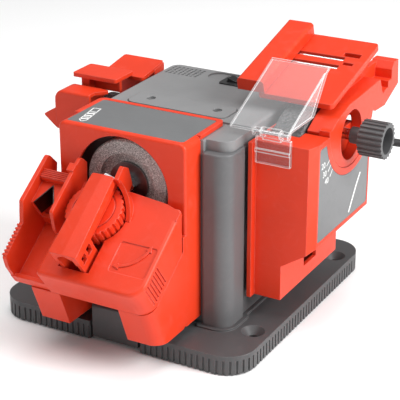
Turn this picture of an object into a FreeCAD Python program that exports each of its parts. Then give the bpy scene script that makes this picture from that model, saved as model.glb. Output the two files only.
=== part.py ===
import FreeCAD, Part
import math
import os

# Bench sharpener with three modules round one motor: drill module in front, chisel module
# on the right and knife module on the left. Millimetres, +X right, +Y back, +Z up. Sizes
# are set out from the middle of the base, and the finished pieces are moved so that the
# origin lies on the floor midway between the four mounting holes.

V = FreeCAD.Vector
AXES = {"x": V(1, 0, 0), "y": V(0, 1, 0), "z": V(0, 0, 1)}
FAR = 600.0

# Clearances
GAP = 0.3
RUN = 0.05
SEAT = 0.02
TOUCH = 0.05
SMALL_ROUND = 2.0

# Base plate
BASE_W = 200.0
BASE_D = 210.0
BASE_TOP = 15.0
BASE_CORNER = 21.0
BASE_WALL = 4.0
BASE_DECK = 4.0
RIB_PITCH = 4.6
RIB_GAP = 1.6
RIB_DEPTH = 1.0
RIB_BAND = 3.5
CORNER_RIBS = 7
PAD_H = 1.5
PAD_GROW = 3.0
FOOT_H = 1.0
FOOT_R = 8.0
FOOT_STEM_R = 4.0
FOOT_STEM_L = 5.0
FOOT_X = 78.0
FOOT_Y = 89.0
MOUNT_X = 87.0
MOUNT_FRONT = -62.0
MOUNT_BACK = 76.0
MOUNT_R = 3.5
MOUNT_SINK_R = 8.4
MOUNT_BOSS_R = 9.7
MOUNT_LAND_R = 6.5
SCREW_R = 2.0
SCREW_HEAD_R = 4.0
SCREW_HEAD_H = 2.6
SCREW_BOSS_R = 5.0
SCREW_BOSS_H = 12.0
SCREW_X = (-36.0, 58.0)
SCREW_Y = (-48.0, 50.0)

# Release latch in the front edge of the base
LATCH_W = 37.0
LATCH_SLOT = 2.0
LATCH_DEPTH = 11.0
LATCH_T = 3.5
LATCH_INSET = 1.0
LATCH_LOW = 3.0
LATCH_TOP = 29.0
LATCH_HOOK = 5.0
LATCH_PIN_R = 2.4
LATCH_PIN_Z = 11.0
LATCH_PIN_L = 3.0
LATCH_ROOM = 2.0

# Main housing and its corner pillar
HOUSE_LEFT = -46.7
HOUSE_RIGHT = 70.0
HOUSE_FRONT = -69.7
HOUSE_BACK = 63.0
HOUSE_CORNER = 8.0
HOUSE_WALL = 3.0
HOUSE_FLOOR = 3.0
PILLAR_LEFT = 52.0
PILLAR_RIGHT = 72.3
PILLAR_FRONT = -73.0
PILLAR_BACK = -47.5
PILLAR_CORNER = 11.0
PILLAR_TOP = 145.0
SEAM_Z = 142.0
COVER_TOP = 154.0
COVER_WALL = 3.0
COVER_EDGE = 2.0
COVER_FRONT_CORNER = 9.0
COVER_SETBACK = 3.5
VENT_COUNT = 8
VENT_PITCH = 7.0
VENT_W = 3.0
VENT_H = 26.0
VENT_LOW = 62.0
VENT_X = 0.0
DIMPLE_R = 1.3
DIMPLE_PITCH = 3.6
DIMPLE_ROWS = 5
DIMPLE_COLUMNS = 8
DIMPLE_X = -42.0
DIMPLE_Y = 41.0
PANEL_LEFT = -33.0
PANEL_RIGHT = 46.0
PANEL_FRONT = -31.0
PANEL_BACK = -7.0
PANEL_CORNER = 6.0
PANEL_GROOVE = 0.9
PANEL_H = 0.6
COVER_SCREW_X = (-20.0, 34.0)
COVER_SCREW_Y = -17.5
COVER_SCREW_R = 1.8
COVER_SCREW_HEAD_R = 3.2
COVER_SCREW_HEAD_H = 1.6
COVER_SCREW_SINK = 1.2
COVER_POST_R = 5.0
COVER_POST_L = 8.0
THUMB_X = 10.0
THUMB_Y = 51.5
THUMB_L = 40.0
THUMB_W = 17.0
THUMB_DEPTH = 1.6

# Rocker switch in the cover
SWITCH_X = 18.0
SWITCH_Y = 43.0
SWITCH_L = 19.0
SWITCH_W = 12.0
SWITCH_FRAME = 2.0
SWITCH_RIM = 1.2
SWITCH_BODY_H = 22.0
SWITCH_TUB = 8.0
SWITCH_FLOOR = 2.0
ROCKER_RISE = 2.2
ROCKER_TILT = 8.0
ROCKER_PIN_R = 1.5

# Drive: one shaft across the machine, and a drill shaft at right angles
AXIS_Y = 9.5
AXIS_Z = 116.0
SHAFT_R = 4.0
SHAFT_LEFT = -81.0
SHAFT_RIGHT = 105.5
BEARING_R = 9.5
BEARING_W = 7.0
BEARING_SHOULDER = 2.5
BEARING_BOSS_R = 13.5
STATOR_LEFT = 28.0
STATOR_L = 22.0
STATOR_SIDE = 56.0
STATOR_CORNER = 10.0
STATOR_BORE_R = 16.0
WINDING_IN_R = 17.5
WINDING_OUT_R = 25.0
WINDING_T = 3.5
WINDING_SPLIT = 8.0
ARMATURE_R = 15.0
ARMATURE_INSET = 1.0
ARMATURE_HEAD_R = 12.0
ARMATURE_HEAD_L = 3.5
ARMATURE_SLOTS = 12
ARMATURE_SLOT_W = 2.0
ARMATURE_SLOT_D = 3.0
COMMUTATOR_R = 9.0
COMMUTATOR_L = 7.2
COMMUTATOR_BARS = 24
BRUSH_SIDE = 5.0
BRUSH_L = 11.0
BRUSH_POST = 5.0
CRADLE_LOW = 6.0
FAN_R = 25.0
FAN_HUB_R = 8.0
FAN_W = 4.0
FAN_CLEAR = 0.44
FAN_BLADES = 9
FAN_BLADE_T = 1.5
GEAR_TEETH = 16
GEAR_PITCH_R = 12.0
GEAR_FACE = 0.62
GEAR_ADDENDUM = 0.8
GEAR_DEDENDUM = 1.5
GEAR_TOOTH_ROOT = 2.9
GEAR_TOOTH_TIP = 1.1
GEAR_HUB_R = 8.0
GEAR_HUB_L = 4.0
GEAR_BACK = 2.0
DRILL_SHAFT_TOE = 7.5
DRILL_SHAFT_END = -86.0
REAR_BEARING_Y = -26.0
BULKHEAD_SIDE = 34.0
BULKHEAD_T = 9.0

# Drill wheel
WHEEL_R = 31.8
WHEEL_FACE = -83.5
WHEEL_T = 10.5
WHEEL_CUP_R = 22.0
WHEEL_CUP_D = 4.0
WHEEL_HUB_R = 8.0
WHEEL_BEVEL = 1.2
FLANGE_R = 15.0
FLANGE_T = 2.0
NUT_R = 7.0
NUT_H = 4.5

# Stones on the cross shaft
CHISEL_STONE_R = 42.0
CHISEL_STONE_LEFT = 77.5
CHISEL_STONE_W = 22.0
KNIFE_STONE_R = 25.0
KNIFE_STONE_RIGHT = -61.0
KNIFE_STONE_W = 14.0
STONE_HUB_R = 8.0
STONE_BEVEL = 0.8

# Drill module housing
DRILL_HALF_W = 50.0
DRILL_FRONT = -90.7
DRILL_TOP = 155.7
DRILL_LOW = 22.0
DRILL_WALL = 3.0
DRILL_SIDE_BACK = -70.0
DRILL_TOP_BACK = -35.3
DRILL_CORNER = 5.0
DRILL_EDGE = 2.0
DRILL_OPENING_R = 36.6
LABEL_BORDER = 4.0
LABEL_DEPTH = 0.8
LABEL_T = 0.7
LABEL_CORNER = 2.0

# Apron, in its own slope frame: local y up the slope, local z off the slope
APRON_Y = -97.4
APRON_Z = 110.8
APRON_SLOPE = 36.4
APRON_LEFT = -31.0
APRON_RIGHT = 50.0
APRON_FRONT = -67.5
APRON_T = 26.0
APRON_SKIN = 4.0
APRON_WALL = 3.0
APRON_CORNER = 12.0
APRON_EDGE = 2.5
APRON_REAR_Y = -96.0
LIP_LEFT_REACH = 7.0
LIP_RIGHT_REACH = 4.0
ARROW_LEFT = 19.0
ARROW_RIGHT = 47.0
ARROW_FRONT = -53.0
ARROW_BACK = -30.0
ARROW_DEPTH = 0.6
GRIP_COUNT = 7
GRIP_PITCH = 2.9
GRIP_W = 1.3
GRIP_DEPTH = 1.0
GRIP_FRONT = -59.5
GRIP_MARGIN = 3.5
POCKET_X = -7.0
POCKET_Y = -15.5
POCKET_R = 22.0
POCKET_DEPTH = 20.0
POCKET_FLOOR = 3.0
CHANNEL_LEFT = -17.0
CHANNEL_RIGHT = 7.0
CHANNEL_FRONT = -58.5
FIN_T = 2.5
FIN_H = 18.0
FIN_REAR = 17.5
FIN_FRONT = -36.0
SIDE_FIN_T = 3.2
SIDE_FIN_REAR = 17.0
TROUGH_LEFT = -60.0
TROUGH_WALL = 3.0
TROUGH_WALL_H = 14.0
TROUGH_FLOOR = 4.0
TROUGH_FRONT_LIP = 8.0
TROUGH_RAMP_FRONT = -35.0
TROUGH_RAMP_BACK = -25.0
TROUGH_REAR = 15.0
DECK_FRONT = -20.0
DECK_BACK = 5.0
DECK_TOP = 5.0
DECK_T = 4.0
NOTCH_TIP_X = -47.0
NOTCH_TIP_Y = -3.0
NOTCH_HALF_W = 9.5
EDGE_RIBS = 9
EDGE_RIB_PITCH = 2.9
EDGE_RIB_W = 1.4
EDGE_RIB_H = 0.6
LEG_RIGHT_IN = 24.0
LEG_LEFT_IN = -23.0
LEG_LEFT_OUT = -46.0
LEG_FOOT_Y = -125.0
LEG_FRONT_LOCAL = -67.5
LEG_WALL = 3.0
LEG_CORNER = 10.0
BED_T = 4.0
BED_REAR_LOCAL = -10.5
FILLER_LEFT = 30.0
FILLER_T = 3.5
FILLER_TOP = 91.0

# Swing pivot of the apron
PIVOT_X = 38.0
PIVOT_LOCAL_Y = -30.0
PIVOT_R = 3.0
PIVOT_HEAD_R = 5.5
PIVOT_HEAD_H = 3.0
PIVOT_BOSS_R = 7.0
PIVOT_TIP = -7.0

# Drill clamp on the apron
BAR_X = -5.0
BAR_TOP_W = 17.0
BAR_FOOT_W = 21.5
BAR_FRONT = -59.0
BAR_REAR = 5.0
BAR_LOW = 8.3
BAR_TOP = 20.0
BAR_CREASE = 0.5
BAR_SLOT_W = 12.6
BAR_SLOT_TOP = 14.0
BAR_ROOF = 18.3
BAR_LEG_BACK = -40.0
BAR_WALL = 1.0
BAR_WINDOW = 5.0
BAR_WINDOW_H = 8.5
BAR_WINDOW_STEP = 7.5
BAR_WINDOW_FRONT = 3.5
LINER_T = 1.2
LINER_FRONT = -50.0
LINER_REAR = 7.5
KNOB_R = 21.0
KNOB_LOW = -4.0
KNOB_TOP = 8.0
KNOB_FLUTES = 30
KNOB_FLUTE_R = 1.1
KNOB_RING_R = 16.0
KNOB_RING_W = 1.0
KNOB_RING_D = 0.8
CLAMP_SCREW_R = 4.0
CLAMP_BOSS_R = 8.0
JAW_W = 6.0
JAW_FRONT = -30.0
JAW_BACK = -2.0
JAW_T = 2.0
JAW_STEM_R = 3.0
JAW_STEM_L = 10.0
SLIDE_LEFT = -56.5
SLIDE_RIGHT = -31.5
SLIDE_FRONT = -2.0
SLIDE_BACK = 5.0
SLIDE_H = 5.0
SLIDE_RIBS = 5
SLIDE_RIB_H = 0.7

# Chisel module housing
CHISEL_LEFT = 73.8
CHISEL_RIGHT = 118.5
CHISEL_FRONT = -41.0
CHISEL_BACK = 59.0
CHISEL_TOP = 148.0
CHISEL_BELLY = 72.0
CHISEL_SKIRT_TOP = 58.0
CHISEL_SKIRT_RIGHT = 97.0
CHISEL_SKIRT_BACK = 54.0
CHISEL_LOW = 32.0
CHISEL_WALL = 3.0
CHISEL_CHAMFER_X = 2.8
CHISEL_CHAMFER_Y = 10.0
CHISEL_FLANGE_T = 3.0
CHISEL_FLANGE_FRONT = -47.2
STONE_ROOM = 2.0
SKIRT_NOTCH = (-3.0, 18.0, 42.0, 57.0)
CHISEL_LABEL = (-29.0, 57.0, 75.0, 144.0)

# Tilting table of the chisel module
TILT_Y = 25.0
TILT_Z = 154.0
DISC_R = 38.7
RING_R = 44.0
HOLE_R = 18.0
ARM_LEFT = 101.0
ARM_OUTLINE = [
    (-36.7, -8.0),
    (-37.7, -4.0),
    (-24.0, 3.0),
    (-6.0, 7.5),
    (20.0, 8.5),
    (49.0, 10.0),
    (55.0, -3.0),
    (61.0, -1.0),
    (65.0, -1.0),
    (65.0, 4.0),
    (71.0, 4.0),
    (71.0, 11.0),
    (75.0, 16.0),
    (83.0, 16.0),
    (85.0, -3.0),
    (60.0, -13.0),
    (42.0, -12.0),
    (36.0, -8.0),
]
HOOK_WEB = (46.0, 74.0, -3.0, 15.0)
WEB_FRONT = -3.0
WEB_BACK = 56.0
WEB_LOW = -4.0
WEB_HIGH = 52.0
WEB_T = 4.0
TABLE_Y = 0.0
TABLE_Z = 166.0
TABLE_SLOPE = 14.9
TABLE_LEFT = 56.0
TABLE_RIGHT = 113.0
TABLE_L = 84.4
TABLE_T = 4.0
TABLE_CORNER = 3.0
ROD_R = 1.4
ROD_Y = (46.5, 57.7)
ROD_LEFT = 44.0
ROD_SEAT = 4.0
ROD_SLOT_END = 97.0
ROD_SLOT_W = 5.0
TABLE_WINDOWS = [(94.0, 107.0, 61.5, 66.5), (98.0, 106.0, 50.5, 53.8)]
FENCE_LEFT = 41.0
FENCE_RIGHT = 61.7
FENCE_TOP = 9.5
FENCE_EDGE = 2.5
LUG_LEFT = 50.0
LUG_RIGHT = 60.0
STUD_R = 4.0
STUD_Y = 24.0
STUD_Z = 138.0
STUD_RIGHT = 138.0
STUD_HEAD_R = 5.5
STUD_HEAD_T = 2.5
BRIDGE_LEFT = 107.0
BRIDGE_HALF_W = 19.0
BRIDGE_TOP = 140.0
BRIDGE_T = 3.0
BRIDGE_LOW = 100.0
LOCK_LEFT = 127.5
LOCK_L = 18.0
LOCK_R = 13.0
LOCK_RIBS = 22
LOCK_RIB_R = 1.2
LOCK_CUP_R = 9.5
LOCK_CUP_D = 9.0
LOCK_NECK_R = 6.0

# Clear shield over the chisel stone
HINGE_Y = -45.5
HINGE_Z = 156.5
HINGE_R = 3.0
HINGE_PIN_R = 1.25
CLIP_LEFT = CHISEL_LEFT + CHISEL_FLANGE_T + GAP
CLIP_RIGHT = 103.2
CLIP_LOW = 133.0
CLIP_T = 2.8
CLIP_RIB = 1.2
CLIP_EAR = 5.9
SHIELD_LEFT = 60.0
SHIELD_RIGHT = 104.0
SHIELD_TOP_Y = 15.0
SHIELD_TOP_Z = 188.0
SHIELD_T = 2.0
GUSSET_Y = -9.0
GUSSET_Z = 158.5

# Knife module
KNIFE_LEFT = -89.0
KNIFE_FRONT = -38.0
KNIFE_BACK = 60.0
KNIFE_LOW = 25.0
KNIFE_TOP = 107.0
KNIFE_WALL = 3.0
KNIFE_CORNER = 6.0
GUIDE_LEFT = -100.0
GUIDE_FRONT = -24.0
GUIDE_TOP = 150.0
GUIDE_LOW = 119.0
GUIDE_RIGHT = -69.0
GUIDE_WING = 8.0
GUIDE_FIN_L = 10.0
GUIDE_FIN_H = 17.0
GUIDE_WALL = 2.5
GUIDE_FOOT_LEFT = -88.0
BLADE_T = 3.0
BLADE_WEB = 10.0
FRONT_BLADE = (-95.0, -57.0, -6.0, 19.0, 155.5)
FRONT_POST = (-89.0, -82.0)
REAR_BLADE = (-85.0, 21.0, 53.0, 150.5)
REAR_BLADE_SLOPE = 9.0
REAR_POST = (-57.0, -50.0, 38.0, 53.0)

# Power cord
CORD_R = 3.25
RELIEF_X = 52.0
RELIEF_Z = 84.0
RELIEF_L = 34.0
RELIEF_FLANGE_R = 7.5
RELIEF_FLANGE_T = 3.0
RELIEF_BIG_R = 5.8
RELIEF_SMALL_R = 4.3
RELIEF_STUB_R = 4.6
CORD_ROUTE = [
    (52.0, 97.0, 84.0),
    (52.0, 116.0, 84.0),
    (58.5, 135.5, 83.8),
    (75.0, 153.0, 82.8),
    (98.5, 168.0, 80.6),
    (123.0, 179.0, 74.0),
    (149.0, 184.5, 62.5),
    (176.0, 184.5, 48.0),
    (203.0, 178.0, 33.0),
    (227.0, 163.5, 20.0),
    (244.5, 142.5, 10.5),
    (254.5, 116.5, 4.75),
    (254.5, 92.5, 4.75),
]
COIL_X = 208.0
COIL_Y = 86.0
COIL_R = 46.5
COIL_PITCH = 7.2
COIL_LAYER = 7.2
COIL_Z = 4.75
COIL_TURNS = 3
COIL_EXIT = 36.0
TIE_T = 1.2
TIE_W = 6.0
PLUG_L = 38.0
PLUG_W = 22.0
PLUG_H = 20.0
PLUG_PIN_R = 2.0
PLUG_PIN_L = 18.0
PLUG_PIN_GAP = 13.0


def point(axis, along, u, v):
    """Place along one axis, with the other two coordinates in x, y, z order."""
    if axis == "x":
        return V(along, u, v)
    if axis == "y":
        return V(u, along, v)
    return V(u, v, along)


def block(x0, x1, y0, y1, z0, z1):
    return Part.makeBox(x1 - x0, y1 - y0, z1 - z0, V(x0, y0, z0))


def cylinder(axis, start, end, u, v, radius):
    return Part.makeCylinder(radius, end - start, point(axis, start, u, v), AXES[axis])


def cone(axis, start, end, u, v, start_radius, end_radius):
    return Part.makeCone(start_radius, end_radius, end - start, point(axis, start, u, v), AXES[axis])


def ring(axis, start, end, u, v, outer, inner):
    return cylinder(axis, start, end, u, v, outer).cut(cylinder(axis, start, end, u, v, inner))


def plate(axis, start, end, corners):
    """Prism of a closed outline, whose corners may carry a rounding radius."""
    count = len(corners)
    plain = [V(corner[0], corner[1], 0) for corner in corners]
    radii = [corner[2] if len(corner) == 3 else 0.0 for corner in corners]
    trims = []
    for i, here in enumerate(plain):
        to_last = (plain[i - 1] - here).normalize()
        to_next = (plain[(i + 1) % count] - here).normalize()
        half = to_last.getAngle(to_next) / 2
        reach = radii[i] / math.tan(half)
        middle = here
        if radii[i] > 0:
            inward = (to_last + to_next).normalize()
            middle = here + inward * (radii[i] / math.sin(half) - radii[i])
        trims.append((here + to_last * reach, middle, here + to_next * reach))
    edges = []
    for i, (enter, middle, leave) in enumerate(trims):
        if radii[i] > 0:
            ends = [point(axis, start, p.x, p.y) for p in (enter, middle, leave)]
            edges.append(Part.Arc(*ends).toShape())
        onward = trims[(i + 1) % count][0]
        if leave.distanceToPoint(onward) > 1e-6:
            here = point(axis, start, leave.x, leave.y)
            there = point(axis, start, onward.x, onward.y)
            edges.append(Part.LineSegment(here, there).toShape())
    face = Part.Face(Part.Wire(edges))
    return face.extrude(AXES[axis] * (end - start))


def rectangle(u0, u1, v0, v1, radius=0.0):
    return [(u0, v0, radius), (u1, v0, radius), (u1, v1, radius), (u0, v1, radius)]


def join(*shapes):
    return shapes[0].fuse(list(shapes[1:])).removeSplitter()


def tilt(shape, y, z, degrees):
    """Move a shape from a sloping local frame to the machine's frame."""
    move = FreeCAD.Placement(V(0, y, z), FreeCAD.Rotation(AXES["x"], degrees))
    return shape.transformed(move.toMatrix(), True)


def on_apron(shape):
    return tilt(shape, APRON_Y, APRON_Z, APRON_SLOPE)


def on_table(shape):
    return tilt(shape, TABLE_Y, TABLE_Z, TABLE_SLOPE)


def soften(shape, radius, wanted):
    """Round the edges whose bounding box the test accepts."""
    edges = [edge for edge in shape.Edges if wanted(edge.BoundBox)]
    return shape.makeFillet(radius, edges)


def level_at(z):
    return lambda box: abs(box.ZMin - z) < TOUCH and abs(box.ZMax - z) < TOUCH


def spin(shape, axis, u, v, degrees):
    turned = shape.copy()
    turned.rotate(point(axis, 0, u, v), AXES[axis], degrees)
    return turned


def save(node, *solids):
    shape = solids[0] if len(solids) == 1 else Part.makeCompound(list(solids))
    if not shape.isValid():
        print("not valid:", node)
    moved = shape.copy()
    moved.translate(V(0, -(MOUNT_FRONT + MOUNT_BACK) / 2, 0))
    moved.exportStep("parts/" + node + ".step")


# Base and latch

def notch_steps(half):
    """Four corners of one notch, as steps along the edge and depths below it."""
    return [(-half, 0), (-half, RIB_DEPTH), (half, RIB_DEPTH), (half, 0)]


def ribbed_outline():
    """Rounded rectangle with vertical notches all round, as corner points."""
    points = []
    half_gap = RIB_GAP / 2
    sides = [(BASE_W, BASE_D), (BASE_D, BASE_W), (BASE_W, BASE_D), (BASE_D, BASE_W)]
    for quarter, (length, across) in enumerate(sides):
        local = []
        count = int((length - 2 * BASE_CORNER) / RIB_PITCH)
        for k in range(count):
            middle = (k - (count - 1) / 2) * RIB_PITCH
            for along, out in notch_steps(half_gap):
                local.append((middle + along, out - across / 2))
        centre_x = length / 2 - BASE_CORNER
        centre_y = BASE_CORNER - across / 2
        half_angle = half_gap / BASE_CORNER
        for k in range(CORNER_RIBS):
            middle = math.radians(90.0 * (k + 0.5) / CORNER_RIBS - 90.0)
            for turn, out in notch_steps(half_angle):
                radius = BASE_CORNER - out
                angle = middle + turn
                local.append((centre_x + radius * math.cos(angle), centre_y + radius * math.sin(angle)))
        side_turn = FreeCAD.Rotation(AXES["z"], 90.0 * quarter)
        for x, y in local:
            turned = side_turn.multVec(V(x, y, 0))
            points.append((turned.x, turned.y))
    return points


def housing_outline(grow):
    return [
        (HOUSE_LEFT - grow, HOUSE_FRONT - grow),
        (PILLAR_LEFT - grow, HOUSE_FRONT - grow),
        (PILLAR_LEFT - grow, PILLAR_FRONT - grow, SMALL_ROUND),
        (PILLAR_RIGHT + grow, PILLAR_FRONT - grow, PILLAR_CORNER + grow),
        (PILLAR_RIGHT + grow, PILLAR_BACK + grow, SMALL_ROUND),
        (HOUSE_RIGHT + grow, PILLAR_BACK + grow),
        (HOUSE_RIGHT + grow, HOUSE_BACK + grow, HOUSE_CORNER + grow),
        (HOUSE_LEFT - grow, HOUSE_BACK + grow, HOUSE_CORNER + grow),
    ]


def mount_places():
    return [(x, y) for x in (-MOUNT_X, MOUNT_X) for y in (MOUNT_FRONT, MOUNT_BACK)]


def foot_places():
    return [(x, y) for x in (-FOOT_X, FOOT_X) for y in (-FOOT_Y, FOOT_Y)]


def screw_places():
    return [(x, y) for x in SCREW_X for y in SCREW_Y]


def latch_axis_y():
    return LATCH_INSET + LATCH_T + LATCH_PIN_R / 2 - BASE_D / 2


def base_plate():
    half_w = BASE_W / 2
    half_d = BASE_D / 2
    under_deck = BASE_TOP - BASE_DECK
    band = plate("z", BASE_TOP - RIB_BAND, BASE_TOP, rectangle(-half_w, half_w, -half_d, half_d, BASE_CORNER))
    ribs = plate("z", FOOT_H, BASE_TOP - RIB_BAND, ribbed_outline())
    inner = rectangle(BASE_WALL - half_w, half_w - BASE_WALL, BASE_WALL - half_d, half_d - BASE_WALL,
                      BASE_CORNER - BASE_WALL)
    body = join(band, ribs).cut(plate("z", 0, under_deck, inner))
    extras = [plate("z", under_deck, BASE_TOP + PAD_H, housing_outline(PAD_GROW))]
    for x, y in mount_places():
        extras.append(cylinder("z", FOOT_H, BASE_TOP, x, y, MOUNT_BOSS_R))
        extras.append(cylinder("z", 0, BASE_TOP, x, y, MOUNT_LAND_R))
    for x, y in foot_places():
        extras.append(cylinder("z", FOOT_H, BASE_TOP, x, y, FOOT_R))
    cheek = LATCH_W / 2 + LATCH_SLOT + 2 * LATCH_PIN_L
    extras.append(block(-cheek, cheek, BASE_WALL - half_d, LATCH_DEPTH + BASE_WALL - half_d, FOOT_H,
                        BASE_TOP))
    body = join(body, *extras)
    cuts = []
    for x, y in mount_places():
        cuts.append(cylinder("z", 0, BASE_TOP + PAD_H, x, y, MOUNT_R))
        sink = MOUNT_SINK_R - MOUNT_R
        cuts.append(cone("z", BASE_TOP - sink, BASE_TOP, x, y, MOUNT_R, MOUNT_SINK_R))
    for x, y in foot_places():
        cuts.append(cylinder("z", 0, FOOT_H + FOOT_STEM_L + GAP, x, y, FOOT_STEM_R + SEAT))
    for x, y in screw_places():
        cuts.append(cylinder("z", 0, BASE_TOP + PAD_H, x, y, SCREW_R + GAP))
    gap_half = LATCH_W / 2 + LATCH_SLOT
    cuts.append(block(-gap_half, gap_half, -FAR, LATCH_DEPTH - half_d, 0, BASE_TOP + PAD_H))
    pin_half = gap_half + LATCH_PIN_L + GAP
    cuts.append(cylinder("x", -pin_half, pin_half, latch_axis_y(), LATCH_PIN_Z, LATCH_PIN_R + RUN))
    return body.cut(cuts)


def rubber_feet():
    feet = []
    for x, y in foot_places():
        pad = cylinder("z", 0, FOOT_H, x, y, FOOT_R)
        stem = cylinder("z", 0, FOOT_H + FOOT_STEM_L, x, y, FOOT_STEM_R)
        feet.append(join(pad, stem))
    return feet


def base_screws():
    screws = []
    under_deck = BASE_TOP - BASE_DECK
    for x, y in screw_places():
        head = cylinder("z", under_deck - SCREW_HEAD_H, under_deck, x, y, SCREW_HEAD_R)
        shank = cylinder("z", under_deck - SCREW_HEAD_H, BASE_TOP + PAD_H + SCREW_BOSS_H, x, y, SCREW_R)
        screws.append(join(head, shank))
    return screws


def module_latch():
    front = LATCH_INSET - BASE_D / 2
    half = LATCH_W / 2
    profile = [
        (front, LATCH_LOW, 1.0),
        (front, LATCH_TOP, 2.5),
        (front + LATCH_HOOK + LATCH_T, LATCH_TOP),
        (front + LATCH_HOOK + LATCH_T, LATCH_TOP - LATCH_T),
        (front + LATCH_T, LATCH_TOP - LATCH_T, SMALL_ROUND),
        (front + LATCH_T, LATCH_LOW),
    ]
    tongue = plate("x", -half, half, profile)
    reach = half + LATCH_SLOT + LATCH_PIN_L
    return join(tongue, cylinder("x", -reach, reach, latch_axis_y(), LATCH_PIN_Z, LATCH_PIN_R))


# Main housing, cover and switch

def cover_outline(grow):
    front = HOUSE_FRONT + COVER_SETBACK
    right = HOUSE_RIGHT
    return [
        (HOUSE_LEFT - grow, HOUSE_FRONT - grow),
        (PILLAR_LEFT + grow, HOUSE_FRONT - grow),
        (PILLAR_LEFT + grow, front - grow),
        (right + grow, front - grow, COVER_FRONT_CORNER + grow),
        (right + grow, HOUSE_BACK + grow, HOUSE_CORNER + grow),
        (HOUSE_LEFT - grow, HOUSE_BACK + grow, HOUSE_CORNER + grow),
    ]


def front_bearing_y():
    return HOUSE_FRONT + BEARING_SHOULDER


def left_bearing_x():
    return HOUSE_LEFT + BEARING_SHOULDER


def right_bearing_x():
    return HOUSE_RIGHT - BEARING_SHOULDER - BEARING_W


def housing_bosses(floor):
    """Bearing bosses, bulkhead, motor cradle and brush posts that stand inside the housing."""
    stator_low = AXIS_Z - STATOR_SIDE / 2
    stator_mid = STATOR_LEFT + STATOR_L / 2
    brush_x = commutator_left() + COMMUTATOR_L / 2
    brush_low = AXIS_Z - BRUSH_SIDE / 2
    half_post = BRUSH_POST / 2
    left = left_bearing_x()
    right = right_bearing_x()
    bulk_back = REAR_BEARING_Y + BEARING_W + (BULKHEAD_T - BEARING_W) / 2
    half_bulk = BULKHEAD_SIDE / 2
    pieces = [
        cylinder("x", HOUSE_LEFT, left + BEARING_W, AXIS_Y, AXIS_Z, BEARING_BOSS_R),
        cylinder("x", right, HOUSE_RIGHT, AXIS_Y, AXIS_Z, BEARING_BOSS_R),
        cylinder("y", HOUSE_FRONT, front_bearing_y() + BEARING_W, 0, AXIS_Z, BEARING_BOSS_R),
        block(-half_bulk, half_bulk, bulk_back - BULKHEAD_T, bulk_back, floor - 1, AXIS_Z + BEARING_BOSS_R),
        block(stator_mid - CRADLE_LOW, stator_mid + CRADLE_LOW, AXIS_Y - STATOR_SIDE / 2 + STATOR_CORNER,
              AXIS_Y + STATOR_SIDE / 2 - STATOR_CORNER, floor - 1, stator_low),
    ]
    for side in (-1, 1):
        near = AXIS_Y + side * (COMMUTATOR_R + GAP + BRUSH_L / 2)
        pieces.append(block(brush_x - half_post, brush_x + half_post, near - half_post, near + half_post,
                            floor - 1, brush_low))
    return pieces


def main_housing():
    bottom = BASE_TOP + PAD_H
    floor = bottom + HOUSE_FLOOR
    shell = plate("z", bottom, SEAM_Z, housing_outline(0))
    inner = rectangle(HOUSE_LEFT + HOUSE_WALL, HOUSE_RIGHT - HOUSE_WALL, HOUSE_FRONT + HOUSE_WALL,
                      HOUSE_BACK - HOUSE_WALL, HOUSE_CORNER - HOUSE_WALL)
    shell = shell.cut(plate("z", floor, SEAM_Z + 1, inner))
    pillar = plate("z", bottom, PILLAR_TOP, [
        (PILLAR_LEFT, PILLAR_FRONT, SMALL_ROUND),
        (PILLAR_RIGHT, PILLAR_FRONT, PILLAR_CORNER),
        (PILLAR_RIGHT, PILLAR_BACK, SMALL_ROUND),
        (PILLAR_LEFT, PILLAR_BACK),
    ])
    pillar = soften(pillar, 1.5, level_at(PILLAR_TOP))
    pillar = pillar.cut(plate("z", SEAM_Z, COVER_TOP, cover_outline(GAP)))
    pillar = pillar.cut(plate("z", floor, SEAM_Z + 1, inner))
    bosses = []
    for x, y in screw_places():
        bosses.append(cylinder("z", floor - 1, bottom + SCREW_BOSS_H + 2, x, y, SCREW_BOSS_R))
    body = join(shell, pillar, *housing_bosses(floor), *bosses)
    left = left_bearing_x()
    right = right_bearing_x()
    front = front_bearing_y()
    bulk_hole = REAR_BEARING_Y + (BULKHEAD_T - BEARING_W) / 2
    cuts = [
        cylinder("x", HOUSE_LEFT - 1, HOUSE_RIGHT + 1, AXIS_Y, AXIS_Z, SHAFT_R + 1),
        cylinder("x", left, left + BEARING_W + 1, AXIS_Y, AXIS_Z, BEARING_R + SEAT),
        cylinder("x", right - 1, right + BEARING_W, AXIS_Y, AXIS_Z, BEARING_R + SEAT),
        cylinder("y", HOUSE_FRONT - 1, bulk_hole + BULKHEAD_T, 0, AXIS_Z, SHAFT_R + 1),
        cylinder("y", front, front + BEARING_W + 1, 0, AXIS_Z, BEARING_R + SEAT),
        cylinder("y", REAR_BEARING_Y, REAR_BEARING_Y + BULKHEAD_T, 0, AXIS_Z, BEARING_R + SEAT),
        cylinder("y", HOUSE_BACK - 2 * HOUSE_WALL, HOUSE_BACK + 1, RELIEF_X, RELIEF_Z, RELIEF_STUB_R + SEAT),
    ]
    for x, y in screw_places():
        cuts.append(cylinder("z", bottom - 1, bottom + SCREW_BOSS_H, x, y, SCREW_R + SEAT))
    for k in range(VENT_COUNT):
        middle = VENT_X + (k - (VENT_COUNT - 1) / 2) * VENT_PITCH
        cuts.append(block(middle - VENT_W / 2, middle + VENT_W / 2,
                          HOUSE_BACK - 2 * HOUSE_WALL, HOUSE_BACK + 1,
                          VENT_LOW, VENT_LOW + VENT_H))
    return body.cut(cuts)


def cover_low_top():
    """Top of the cover's front step, under the drill module's top panel."""
    return DRILL_TOP - DRILL_WALL - GAP


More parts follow.
